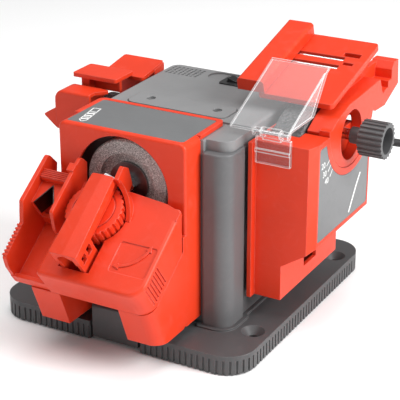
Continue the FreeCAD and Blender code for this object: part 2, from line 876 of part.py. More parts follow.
def top_cover():
    roof = COVER_TOP - COVER_WALL
    outer = plate("z", SEAM_Z, COVER_TOP, cover_outline(0))
    outer = soften(outer, COVER_EDGE, level_at(COVER_TOP))
    step = block(-FAR, FAR, -FAR, DRILL_TOP_BACK + GAP, cover_low_top(), FAR)
    inner = plate("z", SEAM_Z - 1, roof, [
        (HOUSE_LEFT + COVER_WALL, HOUSE_FRONT + COVER_SETBACK + COVER_WALL),
        (HOUSE_RIGHT - COVER_WALL, HOUSE_FRONT + COVER_SETBACK + COVER_WALL, COVER_FRONT_CORNER - COVER_WALL),
        (HOUSE_RIGHT - COVER_WALL, HOUSE_BACK - COVER_WALL, HOUSE_CORNER - COVER_WALL),
        (HOUSE_LEFT + COVER_WALL, HOUSE_BACK - COVER_WALL, HOUSE_CORNER - COVER_WALL),
    ])
    step_under = block(-FAR, FAR, -FAR, DRILL_TOP_BACK + GAP + COVER_WALL, cover_low_top() - COVER_WALL, FAR)
    body = outer.cut(step).cut(inner.cut(step_under))
    panel = plate("z", roof, COVER_TOP + PANEL_H,
                  rectangle(PANEL_LEFT, PANEL_RIGHT, PANEL_FRONT, PANEL_BACK, PANEL_CORNER))
    posts = []
    for x in COVER_SCREW_X:
        posts.append(cylinder("z", COVER_TOP - COVER_POST_L, roof + 1, x, COVER_SCREW_Y, COVER_POST_R))
    thumb = rectangle(THUMB_X - THUMB_L / 2, THUMB_X + THUMB_L / 2, THUMB_Y - THUMB_W / 2,
                      THUMB_Y + THUMB_W / 2, THUMB_W / 2 - 0.1)
    body = join(body, panel, *posts)
    top = COVER_TOP + PANEL_H
    round_panel = plate("z", COVER_TOP - PANEL_GROOVE, top + 1,
                        rectangle(PANEL_LEFT - PANEL_GROOVE, PANEL_RIGHT + PANEL_GROOVE,
                                  PANEL_FRONT - PANEL_GROOVE, PANEL_BACK + PANEL_GROOVE,
                                  PANEL_CORNER + PANEL_GROOVE))
    cuts = [plate("z", COVER_TOP - THUMB_DEPTH, COVER_TOP + 1, thumb), round_panel.cut(panel)]
    for x in COVER_SCREW_X:
        cuts.append(cylinder("z", SEAM_Z, top + 1, x, COVER_SCREW_Y, COVER_SCREW_R + SEAT))
        low = top - COVER_SCREW_SINK - COVER_SCREW_HEAD_H
        cuts.append(cylinder("z", low, top + 1, x, COVER_SCREW_Y, COVER_SCREW_HEAD_R + GAP))
    for row in range(DIMPLE_ROWS):
        for column in range(DIMPLE_COLUMNS):
            x = DIMPLE_X + column * DIMPLE_PITCH
            y = DIMPLE_Y + row * DIMPLE_PITCH
            cuts.append(cylinder("z", roof - 1, COVER_TOP + 1, x, y, DIMPLE_R))
    half_l = SWITCH_L / 2 + SEAT
    half_w = SWITCH_W / 2 + SEAT
    cuts.append(block(SWITCH_X - half_l, SWITCH_X + half_l, SWITCH_Y - half_w, SWITCH_Y + half_w, SEAM_Z,
                      top))
    return body.cut(cuts)


def top_cover_screws():
    screws = []
    top = COVER_TOP + PANEL_H - COVER_SCREW_SINK
    for x in COVER_SCREW_X:
        head = cylinder("z", top - COVER_SCREW_HEAD_H, top, x, COVER_SCREW_Y, COVER_SCREW_HEAD_R)
        slot = block(x - COVER_SCREW_HEAD_R, x + COVER_SCREW_HEAD_R, COVER_SCREW_Y - 0.4, COVER_SCREW_Y + 0.4,
                     top - COVER_SCREW_HEAD_H / 2, top + 1)
        shank = cylinder("z", COVER_TOP - COVER_POST_L, top - COVER_SCREW_HEAD_H, x, COVER_SCREW_Y,
                         COVER_SCREW_R)
        screws.append(join(head, shank).cut(slot))
    return screws


def switch_body():
    half_l = SWITCH_L / 2
    half_w = SWITCH_W / 2
    tub = block(SWITCH_X - half_l, SWITCH_X + half_l, SWITCH_Y - half_w, SWITCH_Y + half_w,
                COVER_TOP - SWITCH_BODY_H, COVER_TOP)
    rim = plate("z", COVER_TOP, COVER_TOP + SWITCH_RIM,
                rectangle(SWITCH_X - half_l - SWITCH_FRAME, SWITCH_X + half_l + SWITCH_FRAME,
                          SWITCH_Y - half_w - SWITCH_FRAME, SWITCH_Y + half_w + SWITCH_FRAME, 1.5))
    room = block(SWITCH_X - half_l + SWITCH_FRAME, SWITCH_X + half_l - SWITCH_FRAME,
                 SWITCH_Y - half_w + SWITCH_FRAME, SWITCH_Y + half_w - SWITCH_FRAME,
                 COVER_TOP - SWITCH_TUB, COVER_TOP + SWITCH_RIM + 1)
    pin = cylinder("y", SWITCH_Y - half_w + 0.8, SWITCH_Y + half_w - 0.8, SWITCH_X,
                   COVER_TOP - SWITCH_FLOOR, ROCKER_PIN_R + RUN)
    return join(tub, rim).cut([room, pin])


def switch_rocker():
    half_l = SWITCH_L / 2 - SWITCH_FRAME - 2 * GAP
    half_w = SWITCH_W / 2 - SWITCH_FRAME - GAP
    axis_z = COVER_TOP - SWITCH_FLOOR
    top = COVER_TOP + SWITCH_RIM + ROCKER_RISE
    profile = [
        (SWITCH_X - half_l, axis_z, 0.5),
        (SWITCH_X, axis_z - ROCKER_PIN_R - 1),
        (SWITCH_X + half_l, axis_z, 0.5),
        (SWITCH_X + half_l, top, 0.5),
        (SWITCH_X, top - ROCKER_RISE / 2),
        (SWITCH_X - half_l, top, 0.5),
    ]
    cap = plate("y", SWITCH_Y - half_w, SWITCH_Y + half_w, profile)
    pin_half = SWITCH_W / 2 - 1
    pin = cylinder("y", SWITCH_Y - pin_half, SWITCH_Y + pin_half, SWITCH_X, axis_z, ROCKER_PIN_R)
    return spin(join(cap, pin), "y", SWITCH_X, axis_z, ROCKER_TILT)


# Motor, shafts and gears

def commutator_left():
    return STATOR_LEFT + STATOR_L - ARMATURE_INSET + ARMATURE_HEAD_L + GAP


def main_shaft():
    return cylinder("x", SHAFT_LEFT, SHAFT_RIGHT, AXIS_Y, AXIS_Z, SHAFT_R)


def bearing(axis, start, u, v):
    return ring(axis, start, start + BEARING_W, u, v, BEARING_R, SHAFT_R + RUN)


def main_bearings():
    return [bearing("x", left_bearing_x(), AXIS_Y, AXIS_Z), bearing("x", right_bearing_x(), AXIS_Y, AXIS_Z)]


def drill_shaft_bearings():
    return [bearing("y", front_bearing_y(), 0, AXIS_Z), bearing("y", REAR_BEARING_Y, 0, AXIS_Z)]


def stator_core():
    half = STATOR_SIDE / 2
    end = STATOR_LEFT + STATOR_L
    core = plate("x", STATOR_LEFT, end,
                 rectangle(AXIS_Y - half, AXIS_Y + half, AXIS_Z - half, AXIS_Z + half, STATOR_CORNER))
    return core.cut(cylinder("x", STATOR_LEFT, end, AXIS_Y, AXIS_Z, STATOR_BORE_R))


def field_windings():
    bundles = []
    half = WINDING_SPLIT / 2
    for start in (STATOR_LEFT - WINDING_T, STATOR_LEFT + STATOR_L):
        loop = ring("x", start, start + WINDING_T, AXIS_Y, AXIS_Z, WINDING_OUT_R, WINDING_IN_R)
        split = block(start, start + WINDING_T, AXIS_Y - FAR, AXIS_Y + FAR, AXIS_Z - half, AXIS_Z + half)
        bundles.extend(loop.cut(split).Solids)
    return bundles


def armature():
    start = STATOR_LEFT + ARMATURE_INSET
    end = STATOR_LEFT + STATOR_L - ARMATURE_INSET
    core = cylinder("x", start, end, AXIS_Y, AXIS_Z, ARMATURE_R)
    head = cylinder("x", start - ARMATURE_HEAD_L, end + ARMATURE_HEAD_L, AXIS_Y, AXIS_Z, ARMATURE_HEAD_R)
    slot = block(start, end, AXIS_Y - ARMATURE_SLOT_W / 2, AXIS_Y + ARMATURE_SLOT_W / 2,
                 AXIS_Z + ARMATURE_R - ARMATURE_SLOT_D, AXIS_Z + ARMATURE_R + 1)
    slots = [spin(slot, "x", AXIS_Y, AXIS_Z, 360.0 * k / ARMATURE_SLOTS) for k in range(ARMATURE_SLOTS)]
    bore = cylinder("x", start - ARMATURE_HEAD_L, end + ARMATURE_HEAD_L, AXIS_Y, AXIS_Z, SHAFT_R + SEAT)
    return join(core.cut(slots), head).cut(bore)


def commutator():
    start = commutator_left()
    drum = ring("x", start, start + COMMUTATOR_L, AXIS_Y, AXIS_Z, COMMUTATOR_R, SHAFT_R + SEAT)
    line = block(start, start + COMMUTATOR_L, AXIS_Y - 0.2, AXIS_Y + 0.2, AXIS_Z + COMMUTATOR_R - 0.8,
                 AXIS_Z + COMMUTATOR_R + 1)
    lines = [spin(line, "x", AXIS_Y, AXIS_Z, 360.0 * k / COMMUTATOR_BARS) for k in range(COMMUTATOR_BARS)]
    return drum.cut(lines)


def carbon_brushes():
    brushes = []
    half = BRUSH_SIDE / 2
    middle = commutator_left() + COMMUTATOR_L / 2
    reach = COMMUTATOR_R + GAP
    for y0, y1 in ((AXIS_Y - reach - BRUSH_L, AXIS_Y - reach), (AXIS_Y + reach, AXIS_Y + reach + BRUSH_L)):
        brushes.append(block(middle - half, middle + half, y0, y1, AXIS_Z - half, AXIS_Z + half))
    return brushes


def cooling_fan():
    left = GEAR_PITCH_R + GEAR_DEDENDUM * math.sqrt(0.5) + GEAR_BACK + GEAR_HUB_L + FAN_CLEAR
    end = left + FAN_W
    hub = cylinder("x", left, end, AXIS_Y, AXIS_Z, FAN_HUB_R)
    disc = cylinder("x", end - FAN_BLADE_T, end, AXIS_Y, AXIS_Z, FAN_R)
    blade = block(left, end, AXIS_Y - FAN_BLADE_T / 2, AXIS_Y + FAN_BLADE_T / 2, AXIS_Z + SHAFT_R + 1,
                  AXIS_Z + FAN_R - 0.5)
    blades = [spin(blade, "x", AXIS_Y, AXIS_Z, 360.0 * k / FAN_BLADES) for k in range(FAN_BLADES)]
    return join(hub, disc, *blades).cut(cylinder("x", left, end, AXIS_Y, AXIS_Z, SHAFT_R + SEAT))


def bevel_tooth(turn):
    """One straight tooth of a 45 degree bevel gear on +X, tapering towards the origin."""
    slant = math.sqrt(0.5)
    quads = []
    for scale in (1.0, GEAR_FACE):
        corners = []
        for depth, width in ((-GEAR_DEDENDUM, GEAR_TOOTH_ROOT), (GEAR_ADDENDUM, GEAR_TOOTH_TIP)):
            along = scale * (GEAR_PITCH_R - depth * slant)
            out = scale * (GEAR_PITCH_R + depth * slant)
            half = scale * width / 2
            pair = [V(along, -half, out), V(along, half, out)]
            corners.extend(pair if depth < 0 else reversed(pair))
        quads.append(Part.makePolygon(corners + corners[:1]))
    tooth = Part.makeLoft(quads, True, True)
    tooth.rotate(V(0, 0, 0), AXES["x"], turn)
    return tooth


def bevel_wheel(first_turn):
    """Bevel gear along +X with its apex at the origin."""
    slant = math.sqrt(0.5)
    root = 1.06
    heel = GEAR_PITCH_R + GEAR_DEDENDUM * slant
    toe = GEAR_FACE * heel
    heel_r = (GEAR_PITCH_R - GEAR_DEDENDUM * slant) * root
    toe_r = GEAR_FACE * heel_r
    body = join(cone("x", toe, heel, 0, 0, toe_r, heel_r),
                cylinder("x", heel, heel + GEAR_BACK, 0, 0, heel_r),
                cylinder("x", heel, heel + GEAR_BACK + GEAR_HUB_L, 0, 0, GEAR_HUB_R))
    teeth = [bevel_tooth(first_turn + 360.0 * k / GEAR_TEETH) for k in range(GEAR_TEETH)]
    return join(body, *teeth).cut(cylinder("x", 0, FAR, 0, 0, SHAFT_R + SEAT))


def bevel_gear():
    gear = bevel_wheel(0.0)
    gear.translate(V(0, AXIS_Y, AXIS_Z))
    return gear


def bevel_pinion():
    pinion = bevel_wheel(180.0 / GEAR_TEETH)
    pinion.rotate(V(0, 0, 0), AXES["z"], -90.0)
    pinion.translate(V(0, AXIS_Y, AXIS_Z))
    return pinion


def drill_shaft():
    return cylinder("y", DRILL_SHAFT_END, AXIS_Y - DRILL_SHAFT_TOE, 0, AXIS_Z, SHAFT_R)


def drill_wheel():
    back = WHEEL_FACE + WHEEL_T
    body = join(cylinder("y", WHEEL_FACE + WHEEL_BEVEL, back, 0, AXIS_Z, WHEEL_R),
                cone("y", WHEEL_FACE, WHEEL_FACE + WHEEL_BEVEL, 0, AXIS_Z, WHEEL_R - WHEEL_BEVEL, WHEEL_R),
                cylinder("y", back, HOUSE_FRONT - GAP, 0, AXIS_Z, WHEEL_HUB_R))
    cup = cylinder("y", WHEEL_FACE, WHEEL_FACE + WHEEL_CUP_D, 0, AXIS_Z, WHEEL_CUP_R)
    return body.cut([cup, cylinder("y", WHEEL_FACE, HOUSE_FRONT, 0, AXIS_Z, SHAFT_R + SEAT)])


def wheel_flange():
    seat = WHEEL_FACE + WHEEL_CUP_D
    return ring("y", seat - FLANGE_T, seat, 0, AXIS_Z, FLANGE_R, SHAFT_R + SEAT)


def hex_nut(axis, start, u, v):
    corners = [(u + NUT_R * math.cos(math.radians(60 * k)), v + NUT_R * math.sin(math.radians(60 * k)))
               for k in range(6)]
    bore = cylinder(axis, start, start + NUT_H, u, v, SHAFT_R + SEAT)
    return plate(axis, start, start + NUT_H, corners).cut(bore)


def wheel_nut():
    return hex_nut("y", WHEEL_FACE + WHEEL_CUP_D - FLANGE_T - NUT_H, 0, AXIS_Z)


def stone(start, width, radius, hub_start, hub_end):
    """Grinding stone with bevelled rims and a hub that reaches to its shoulder."""
    end = start + width
    body = join(cylinder("x", start + STONE_BEVEL, end - STONE_BEVEL, AXIS_Y, AXIS_Z, radius),
                cone("x", start, start + STONE_BEVEL, AXIS_Y, AXIS_Z, radius - STONE_BEVEL, radius),
                cone("x", end - STONE_BEVEL, end, AXIS_Y, AXIS_Z, radius, radius - STONE_BEVEL),
                cylinder("x", hub_start, hub_end, AXIS_Y, AXIS_Z, STONE_HUB_R))
    return body.cut(cylinder("x", hub_start, hub_end, AXIS_Y, AXIS_Z, SHAFT_R + SEAT))


def chisel_stone():
    end = CHISEL_STONE_LEFT + CHISEL_STONE_W
    return stone(CHISEL_STONE_LEFT, CHISEL_STONE_W, CHISEL_STONE_R, HOUSE_RIGHT + GAP, end)


def chisel_stone_nut():
    return hex_nut("x", CHISEL_STONE_LEFT + CHISEL_STONE_W, AXIS_Y, AXIS_Z)


def knife_stone():
    start = KNIFE_STONE_RIGHT - KNIFE_STONE_W
    return stone(start, KNIFE_STONE_W, KNIFE_STONE_R, start, HOUSE_LEFT - GAP)


def knife_stone_nut():
    return hex_nut("x", KNIFE_STONE_RIGHT - KNIFE_STONE_W - NUT_H, AXIS_Y, AXIS_Z)


# Drill module

def bed_world(local_y, local_z):
    """Machine coordinates (y, z) of a point in the apron's slope frame."""
    angle = math.radians(APRON_SLOPE)
    y = APRON_Y + local_y * math.cos(angle) - local_z * math.sin(angle)
    z = APRON_Z + local_y * math.sin(angle) + local_z * math.cos(angle)
    return y, z


def leg(x0, x1, back_y, corner):
    """Hollow leg under the apron's bed, open at the bottom, with one rounded front corner."""
    bed = -APRON_T - GAP
    front_top = bed_world(LEG_FRONT_LOCAL, bed)
    rear_top = bed_world(BED_REAR_LOCAL, bed)
    rear = DRILL_FRONT + DRILL_WALL / 2
    profile = [front_top, rear_top, (rear, rear_top[1]), (rear, DRILL_LOW + DRILL_WALL),
               (back_y, DRILL_LOW), (LEG_FOOT_Y, DRILL_LOW)]
    solid = plate("x", x0, x1, profile)
    if corner > 0:
        solid = soften(solid, corner, lambda box: box.XMin > x1 - TOUCH and box.YMax < LEG_FOOT_Y + TOUCH
                       and box.ZMax - box.ZMin > LEG_WALL)
    roof = bed - BED_T
    hollow = [bed_world(LEG_FRONT_LOCAL + 2 * LEG_WALL, roof), bed_world(BED_REAR_LOCAL, roof),
              (DRILL_FRONT, DRILL_LOW - 1), (LEG_FOOT_Y + LEG_WALL, DRILL_LOW - 1)]
    return solid.cut(plate("x", x0 + LEG_WALL, x1 - LEG_WALL - corner / 2, hollow))


def latch_room():
    """Room for the latch's hook to swing in, should the drill module reach it."""
    front = LATCH_INSET - BASE_D / 2
    half = LATCH_W / 2 + LATCH_ROOM
    return block(-half, half, front - LATCH_ROOM, front + LATCH_HOOK + LATCH_T + LATCH_ROOM,
                 LATCH_LOW, LATCH_TOP + LATCH_ROOM)


def drill_housing():
    half = DRILL_HALF_W
    shell = plate("y", DRILL_FRONT, DRILL_SIDE_BACK, [
        (-half, DRILL_LOW),
        (half, DRILL_LOW),
        (half, DRILL_TOP, DRILL_CORNER),
        (-half, DRILL_TOP, DRILL_CORNER),
    ])
    shell = soften(shell, DRILL_EDGE, lambda box: box.YMax < DRILL_FRONT + TOUCH
                   and box.ZMin > DRILL_TOP - DRILL_CORNER - TOUCH)
    inner = block(DRILL_WALL - half, half - DRILL_WALL, DRILL_FRONT + DRILL_WALL, DRILL_SIDE_BACK,
                  DRILL_LOW, DRILL_TOP - DRILL_WALL)
    roof = plate("z", DRILL_TOP - DRILL_WALL, DRILL_TOP, [
        (-half + DRILL_CORNER, DRILL_FRONT + DRILL_CORNER),
        (half - DRILL_CORNER, DRILL_FRONT + DRILL_CORNER),
        (half - DRILL_CORNER, DRILL_SIDE_BACK),
        (half, DRILL_SIDE_BACK),
        (half, DRILL_TOP_BACK, DRILL_CORNER),
        (-half, DRILL_TOP_BACK, DRILL_CORNER),
        (-half, DRILL_SIDE_BACK),
        (-half + DRILL_CORNER, DRILL_SIDE_BACK),
    ])
    bed = on_apron(block(LEG_LEFT_OUT, APRON_RIGHT - APRON_CORNER / 2, APRON_FRONT + APRON_CORNER / 2,
                         BED_REAR_LOCAL, -APRON_T - GAP - BED_T, -APRON_T - GAP))
    filler = block(FILLER_LEFT, half, DRILL_FRONT - FILLER_T, DRILL_FRONT + 1, DRILL_LOW + 2 * DRILL_WALL,
                   FILLER_TOP)
    body = join(shell.cut(inner), roof, bed, filler,
                leg(LEG_RIGHT_IN, half, DRILL_FRONT - FILLER_T, LEG_CORNER),
                leg(LEG_LEFT_OUT, LEG_LEFT_IN, APRON_Y, 0))
    label = rectangle(LABEL_BORDER - half, half - LABEL_BORDER, DRILL_FRONT + LABEL_BORDER,
                      DRILL_TOP_BACK - LABEL_BORDER, LABEL_CORNER)
    cuts = [
        cylinder("y", DRILL_FRONT - FILLER_T - 1, DRILL_FRONT + DRILL_WALL + 1, 0, AXIS_Z, DRILL_OPENING_R),
        plate("z", DRILL_TOP - LABEL_DEPTH, DRILL_TOP + 1, label),
        on_apron(cylinder("z", -APRON_T - GAP - BED_T - 1, -APRON_T, PIVOT_X, PIVOT_LOCAL_Y, PIVOT_R + SEAT)),
        on_apron(cylinder("z", -APRON_T - GAP - BED_T - 2 * PIVOT_HEAD_H, -APRON_T - GAP - BED_T, PIVOT_X,
                          PIVOT_LOCAL_Y, PIVOT_HEAD_R + GAP)),
        latch_room(),
    ]
    return body.cut(cuts)


def drill_label_plate():
    half = DRILL_HALF_W - LABEL_BORDER - GAP
    low = DRILL_TOP - LABEL_DEPTH
    return plate("z", low, low + LABEL_T,
                 rectangle(-half, half, DRILL_FRONT + LABEL_BORDER + GAP, DRILL_TOP_BACK - LABEL_BORDER - GAP,
                           LABEL_CORNER))


def behind(y):
    """Everything behind a vertical plane across the machine."""
    return block(-FAR, FAR, y, FAR, -FAR, FAR)


def apron_slab():
    outer = plate("z", -APRON_T, 0, [
        (APRON_LEFT, APRON_FRONT, SMALL_ROUND),
        (APRON_RIGHT, APRON_FRONT, APRON_CORNER),
        (APRON_RIGHT, FIN_REAR),
        (APRON_LEFT, FIN_REAR),
    ])
    outer = soften(outer, APRON_EDGE, lambda box: box.ZMin > -TOUCH and box.XMax > APRON_RIGHT - APRON_CORNER
                   - TOUCH and (box.XMin > APRON_RIGHT - TOUCH or box.YMin < APRON_FRONT + TOUCH))
    wall = APRON_WALL
    hollow = plate("z", -APRON_T - 1, -APRON_SKIN, [
        (APRON_LEFT + wall, APRON_FRONT + wall),
        (APRON_RIGHT - wall, APRON_FRONT + wall, APRON_CORNER - wall),
        (APRON_RIGHT - wall, FIN_REAR),
        (APRON_LEFT + wall, FIN_REAR),
    ])
    slab = on_apron(outer).cut(behind(APRON_REAR_Y))
    slab = slab.cut(on_apron(hollow).cut(behind(APRON_REAR_Y - wall)))
    lip = plate("z", -APRON_SKIN, 0, [
        (APRON_LEFT, -LIP_LEFT_REACH),
        (APRON_RIGHT, -LIP_LEFT_REACH),
        (APRON_RIGHT, 0.0),
        (DRILL_OPENING_R + 1, LIP_RIGHT_REACH, 20.0),
        (CHANNEL_RIGHT, LIP_LEFT_REACH),
        (APRON_LEFT, LIP_LEFT_REACH),
    ])
    tub = join(cylinder("z", -POCKET_DEPTH - POCKET_FLOOR, 0, POCKET_X, POCKET_Y, POCKET_R + 2),
               block(CHANNEL_LEFT - wall, CHANNEL_RIGHT + wall, CHANNEL_FRONT - wall, 0,
                     -POCKET_DEPTH - POCKET_FLOOR, 0))
    tub = on_apron(tub).cut(behind(APRON_REAR_Y))
    boss = on_apron(cylinder("z", -APRON_T, -APRON_SKIN, PIVOT_X, PIVOT_LOCAL_Y, PIVOT_BOSS_R))
    return join(slab, on_apron(lip), tub, boss)


def apron_fins():
    """Upright fins at both sides of the clamp, in the slope frame."""
    left = plate("x", APRON_LEFT, APRON_LEFT + FIN_T, [
        (FIN_FRONT, -1),
        (FIN_FRONT, FIN_H / 4),
        (FIN_FRONT + 6, FIN_H, SMALL_ROUND),
        (FIN_REAR - 2, FIN_H, 4.0),
        (FIN_REAR, FIN_H / 2),
        (LIP_LEFT_REACH, -APRON_SKIN),
        (0, -APRON_SKIN),
    ])
    outer = POCKET_R + SIDE_FIN_T
    curve = ring("z", -1, FIN_H + 2, POCKET_X, POCKET_Y, outer, POCKET_R)
    ramp = plate("x", POCKET_X + outer / 2, POCKET_X + outer + 1, [
        (POCKET_Y, -1),
        (POCKET_Y, 0.5),
        (POCKET_Y + outer / 2, FIN_H / 2, 12.0),
        (POCKET_Y + outer, FIN_H + 2),
        (POCKET_Y + outer, -1),
    ])
    start = CHANNEL_RIGHT - SIDE_FIN_T
    wing = plate("x", start, CHANNEL_RIGHT, [
        (POCKET_Y + POCKET_R - 3, -1),
        (POCKET_Y + POCKET_R - 3, FIN_H + 1),
        (SIDE_FIN_REAR - 3, FIN_H + 2, SMALL_ROUND),
        (SIDE_FIN_REAR, FIN_H - 4),
        (SIDE_FIN_REAR - 4, 1),
        (LIP_LEFT_REACH - 2, -1),
    ])
    tab = block(APRON_LEFT - 3, APRON_LEFT + FIN_T, 3, 9, FIN_H - 3, FIN_H + 1)
    return [left, tab, curve.common(ramp), wing]


def apron_trough():
    """Tray on the left with its side wall, gauge deck and ribbed edge, in the slope frame."""
    inner_left = TROUGH_LEFT + TROUGH_WALL
    side = plate("x", TROUGH_LEFT, inner_left, [
        (APRON_FRONT + 1, -APRON_T),
        (APRON_FRONT + 2, -TROUGH_FRONT_LIP),
        (APRON_FRONT + 5, 0.6, SMALL_ROUND),
        (TROUGH_RAMP_FRONT, SMALL_ROUND),
        (TROUGH_RAMP_BACK, TROUGH_WALL_H, SMALL_ROUND),
        (TROUGH_REAR, TROUGH_WALL_H - 1, 3.0),
        (TROUGH_REAR + 2, 0),
        (DECK_BACK, -APRON_T / 2),
        (DECK_FRONT + 6, -APRON_T),
    ])
    floor = block(TROUGH_LEFT, APRON_LEFT + 1, APRON_FRONT + 1, DECK_FRONT + 3, -APRON_T,
                  TROUGH_FLOOR - APRON_T)
    lip = block(TROUGH_LEFT, APRON_LEFT + 1, APRON_FRONT + 1, APRON_FRONT + 1 + TROUGH_WALL, -APRON_T,
                TROUGH_FRONT_LIP - APRON_T)
    wall = block(TROUGH_LEFT, APRON_LEFT + 1, DECK_FRONT, DECK_FRONT + TROUGH_WALL, -APRON_T, DECK_TOP)
    deck = block(TROUGH_LEFT, APRON_LEFT + 1, DECK_FRONT, DECK_BACK, DECK_TOP - DECK_T, DECK_TOP)
    notch = plate("z", -APRON_T / 2, DECK_TOP + 1, [
        (NOTCH_TIP_X - NOTCH_HALF_W, DECK_FRONT - 1),
        (NOTCH_TIP_X + NOTCH_HALF_W, DECK_FRONT - 1),
        (NOTCH_TIP_X, NOTCH_TIP_Y),
    ])
    tray = join(side, floor, lip, wall, deck).cut(notch)
    ribs = []
    slope = (2.0 - 0.6) / (TROUGH_RAMP_FRONT - APRON_FRONT - 5)
    for k in range(EDGE_RIBS):
        middle = APRON_FRONT + 7 + k * EDGE_RIB_PITCH
        top = 0.6 + slope * (middle - APRON_FRONT - 5) + EDGE_RIB_H
        ribs.append(block(TROUGH_LEFT - EDGE_RIB_H, inner_left,
                          middle - EDGE_RIB_W / 2, middle + EDGE_RIB_W / 2,
                          top - 3, top))
    return [tray] + ribs


def drill_apron():
    extras = [on_apron(piece) for piece in apron_fins() + apron_trough()]
    body = join(apron_slab(), *extras)
    pocket = join(cylinder("z", -POCKET_DEPTH, 1, POCKET_X, POCKET_Y, POCKET_R),
                  block(CHANNEL_LEFT, CHANNEL_RIGHT, CHANNEL_FRONT, FIN_REAR, -POCKET_DEPTH, 1))
    keep = cylinder("z", -POCKET_DEPTH - 1, KNOB_LOW - GAP, POCKET_X, POCKET_Y, CLAMP_BOSS_R)
    wing_room = block(CHANNEL_RIGHT - SIDE_FIN_T, CHANNEL_RIGHT, LIP_LEFT_REACH - 4, FIN_REAR, -1, 2)
    pocket = pocket.cut([keep, wing_room])
    arrow = plate("z", -ARROW_DEPTH, 1,
                  rectangle(ARROW_LEFT, ARROW_RIGHT, ARROW_FRONT, ARROW_BACK, SMALL_ROUND))
    cuts = [on_apron(pocket), on_apron(arrow)]
    cuts.append(on_apron(cylinder("z", -FAR, PIVOT_TIP + GAP, PIVOT_X, PIVOT_LOCAL_Y, PIVOT_R + RUN)))
    screw_low = -POCKET_DEPTH + GAP
    cuts.append(on_apron(cylinder("z", screw_low, 1, POCKET_X, POCKET_Y, CLAMP_SCREW_R + RUN)))
    for k in range(GRIP_COUNT):
        front = GRIP_FRONT + k * GRIP_PITCH
        cuts.append(on_apron(block(APRON_RIGHT - GRIP_DEPTH, APRON_RIGHT + 1, front, front + GRIP_W,
                                   GRIP_MARGIN - APRON_T, -GRIP_MARGIN)))
    return body.cut(cuts)


def swing_pivot_pin():
    under_bed = -APRON_T - GAP - BED_T
    shank = cylinder("z", under_bed, PIVOT_TIP, PIVOT_X, PIVOT_LOCAL_Y, PIVOT_R)
    head = cylinder("z", under_bed - PIVOT_HEAD_H, under_bed, PIVOT_X, PIVOT_LOCAL_Y, PIVOT_HEAD_R)
    return on_apron(join(shank, head))


def roof_profile(half_slot, drop):
    """Inverted V under the clamp bar's roof, as (x, z) corners, lowered by a drop."""
    side = BAR_SLOT_TOP - drop
    return [(BAR_X - half_slot, side), (BAR_X, BAR_ROOF - drop), (BAR_X + half_slot, side)]


def clamp_bridge():
    half_slot = BAR_SLOT_W / 2
    outline = [
        (BAR_X - BAR_FOOT_W / 2, BAR_FRONT, 1.5),
        (BAR_X + BAR_FOOT_W / 2, BAR_FRONT, 1.5),
        (BAR_X + BAR_TOP_W / 2, BAR_REAR, 1.5),
        (BAR_X - BAR_TOP_W / 2, BAR_REAR, 1.5),
    ]
    bar = plate("z", BAR_LOW, BAR_TOP, outline)
    half = BAR_FOOT_W
    ridge = plate("y", BAR_FRONT, BAR_REAR, [
        (BAR_X - half, BAR_LOW),
        (BAR_X + half, BAR_LOW),
        (BAR_X + half, BAR_TOP - 2 * BAR_CREASE),
        (BAR_X, BAR_TOP),
        (BAR_X - half, BAR_TOP - 2 * BAR_CREASE),
    ])
    slot_low = [(BAR_X + half_slot, BAR_LOW - 1), (BAR_X - half_slot, BAR_LOW - 1)]
    slot = plate("y", BAR_FRONT - 1, BAR_REAR + 1, roof_profile(half_slot, 0) + slot_low)
    legs = []
    for side in (-1, 1):
        inner = BAR_X + side * half_slot
        outer = BAR_X + side * (BAR_FOOT_W / 2 - 1.5)
        legs.append(block(min(inner, outer), max(inner, outer), CHANNEL_FRONT + GAP, BAR_LEG_BACK,
                          -POCKET_DEPTH, BAR_LOW + 2))
    side_top = BAR_SLOT_TOP - 1
    windows = []
    for k in range(2):
        front = BAR_FRONT + BAR_WINDOW_FRONT + k * BAR_WINDOW_STEP
        windows.append(block(BAR_X + half_slot - 1, BAR_X + BAR_FOOT_W, front, front + BAR_WINDOW,
                             side_top - BAR_WINDOW_H, side_top))
    undercuts = []
    for side in (-1, 1):
        inner = BAR_X + side * (half_slot + BAR_WALL)
        outer = BAR_X + side * BAR_FOOT_W
        undercuts.append(block(min(inner, outer), max(inner, outer), BAR_LEG_BACK, BAR_REAR + 1, BAR_LOW - 1,
                               BAR_SLOT_TOP))
    bar = bar.common(ridge).cut([slot, *undercuts])
    return on_apron(join(bar, *legs).cut(windows))


def guide_liner():
    """Bent steel liner under the bar's roof, standing out at its upper end."""
    half_slot = BAR_SLOT_W / 2
    top = roof_profile(half_slot, 0)
    under = roof_profile(half_slot, LINER_T)
    return on_apron(plate("y", LINER_FRONT, LINER_REAR, top + under[::-1]))


def clamp_knob():
    disc = cylinder("z", KNOB_LOW, KNOB_TOP, POCKET_X, POCKET_Y, KNOB_R)
    disc = soften(disc, 1.0, level_at(KNOB_TOP))
    flute = cylinder("z", KNOB_LOW - 1, KNOB_TOP + 1, POCKET_X + KNOB_R, POCKET_Y, KNOB_FLUTE_R)
    cuts = [spin(flute, "z", POCKET_X, POCKET_Y, 360.0 * k / KNOB_FLUTES) for k in range(KNOB_FLUTES)]
    cuts.append(ring("z", KNOB_TOP - KNOB_RING_D, KNOB_TOP + 1, POCKET_X, POCKET_Y, KNOB_RING_R,
                     KNOB_RING_R - KNOB_RING_W))
    stem_low = BAR_LOW - JAW_STEM_L - GAP
    cuts.append(cylinder("z", stem_low, KNOB_TOP + 1, POCKET_X, POCKET_Y, JAW_STEM_R + GAP))
    return on_apron(disc.cut(cuts))


def clamp_screw():
    return on_apron(cylinder("z", 2 * GAP - POCKET_DEPTH, KNOB_LOW, POCKET_X, POCKET_Y, CLAMP_SCREW_R))


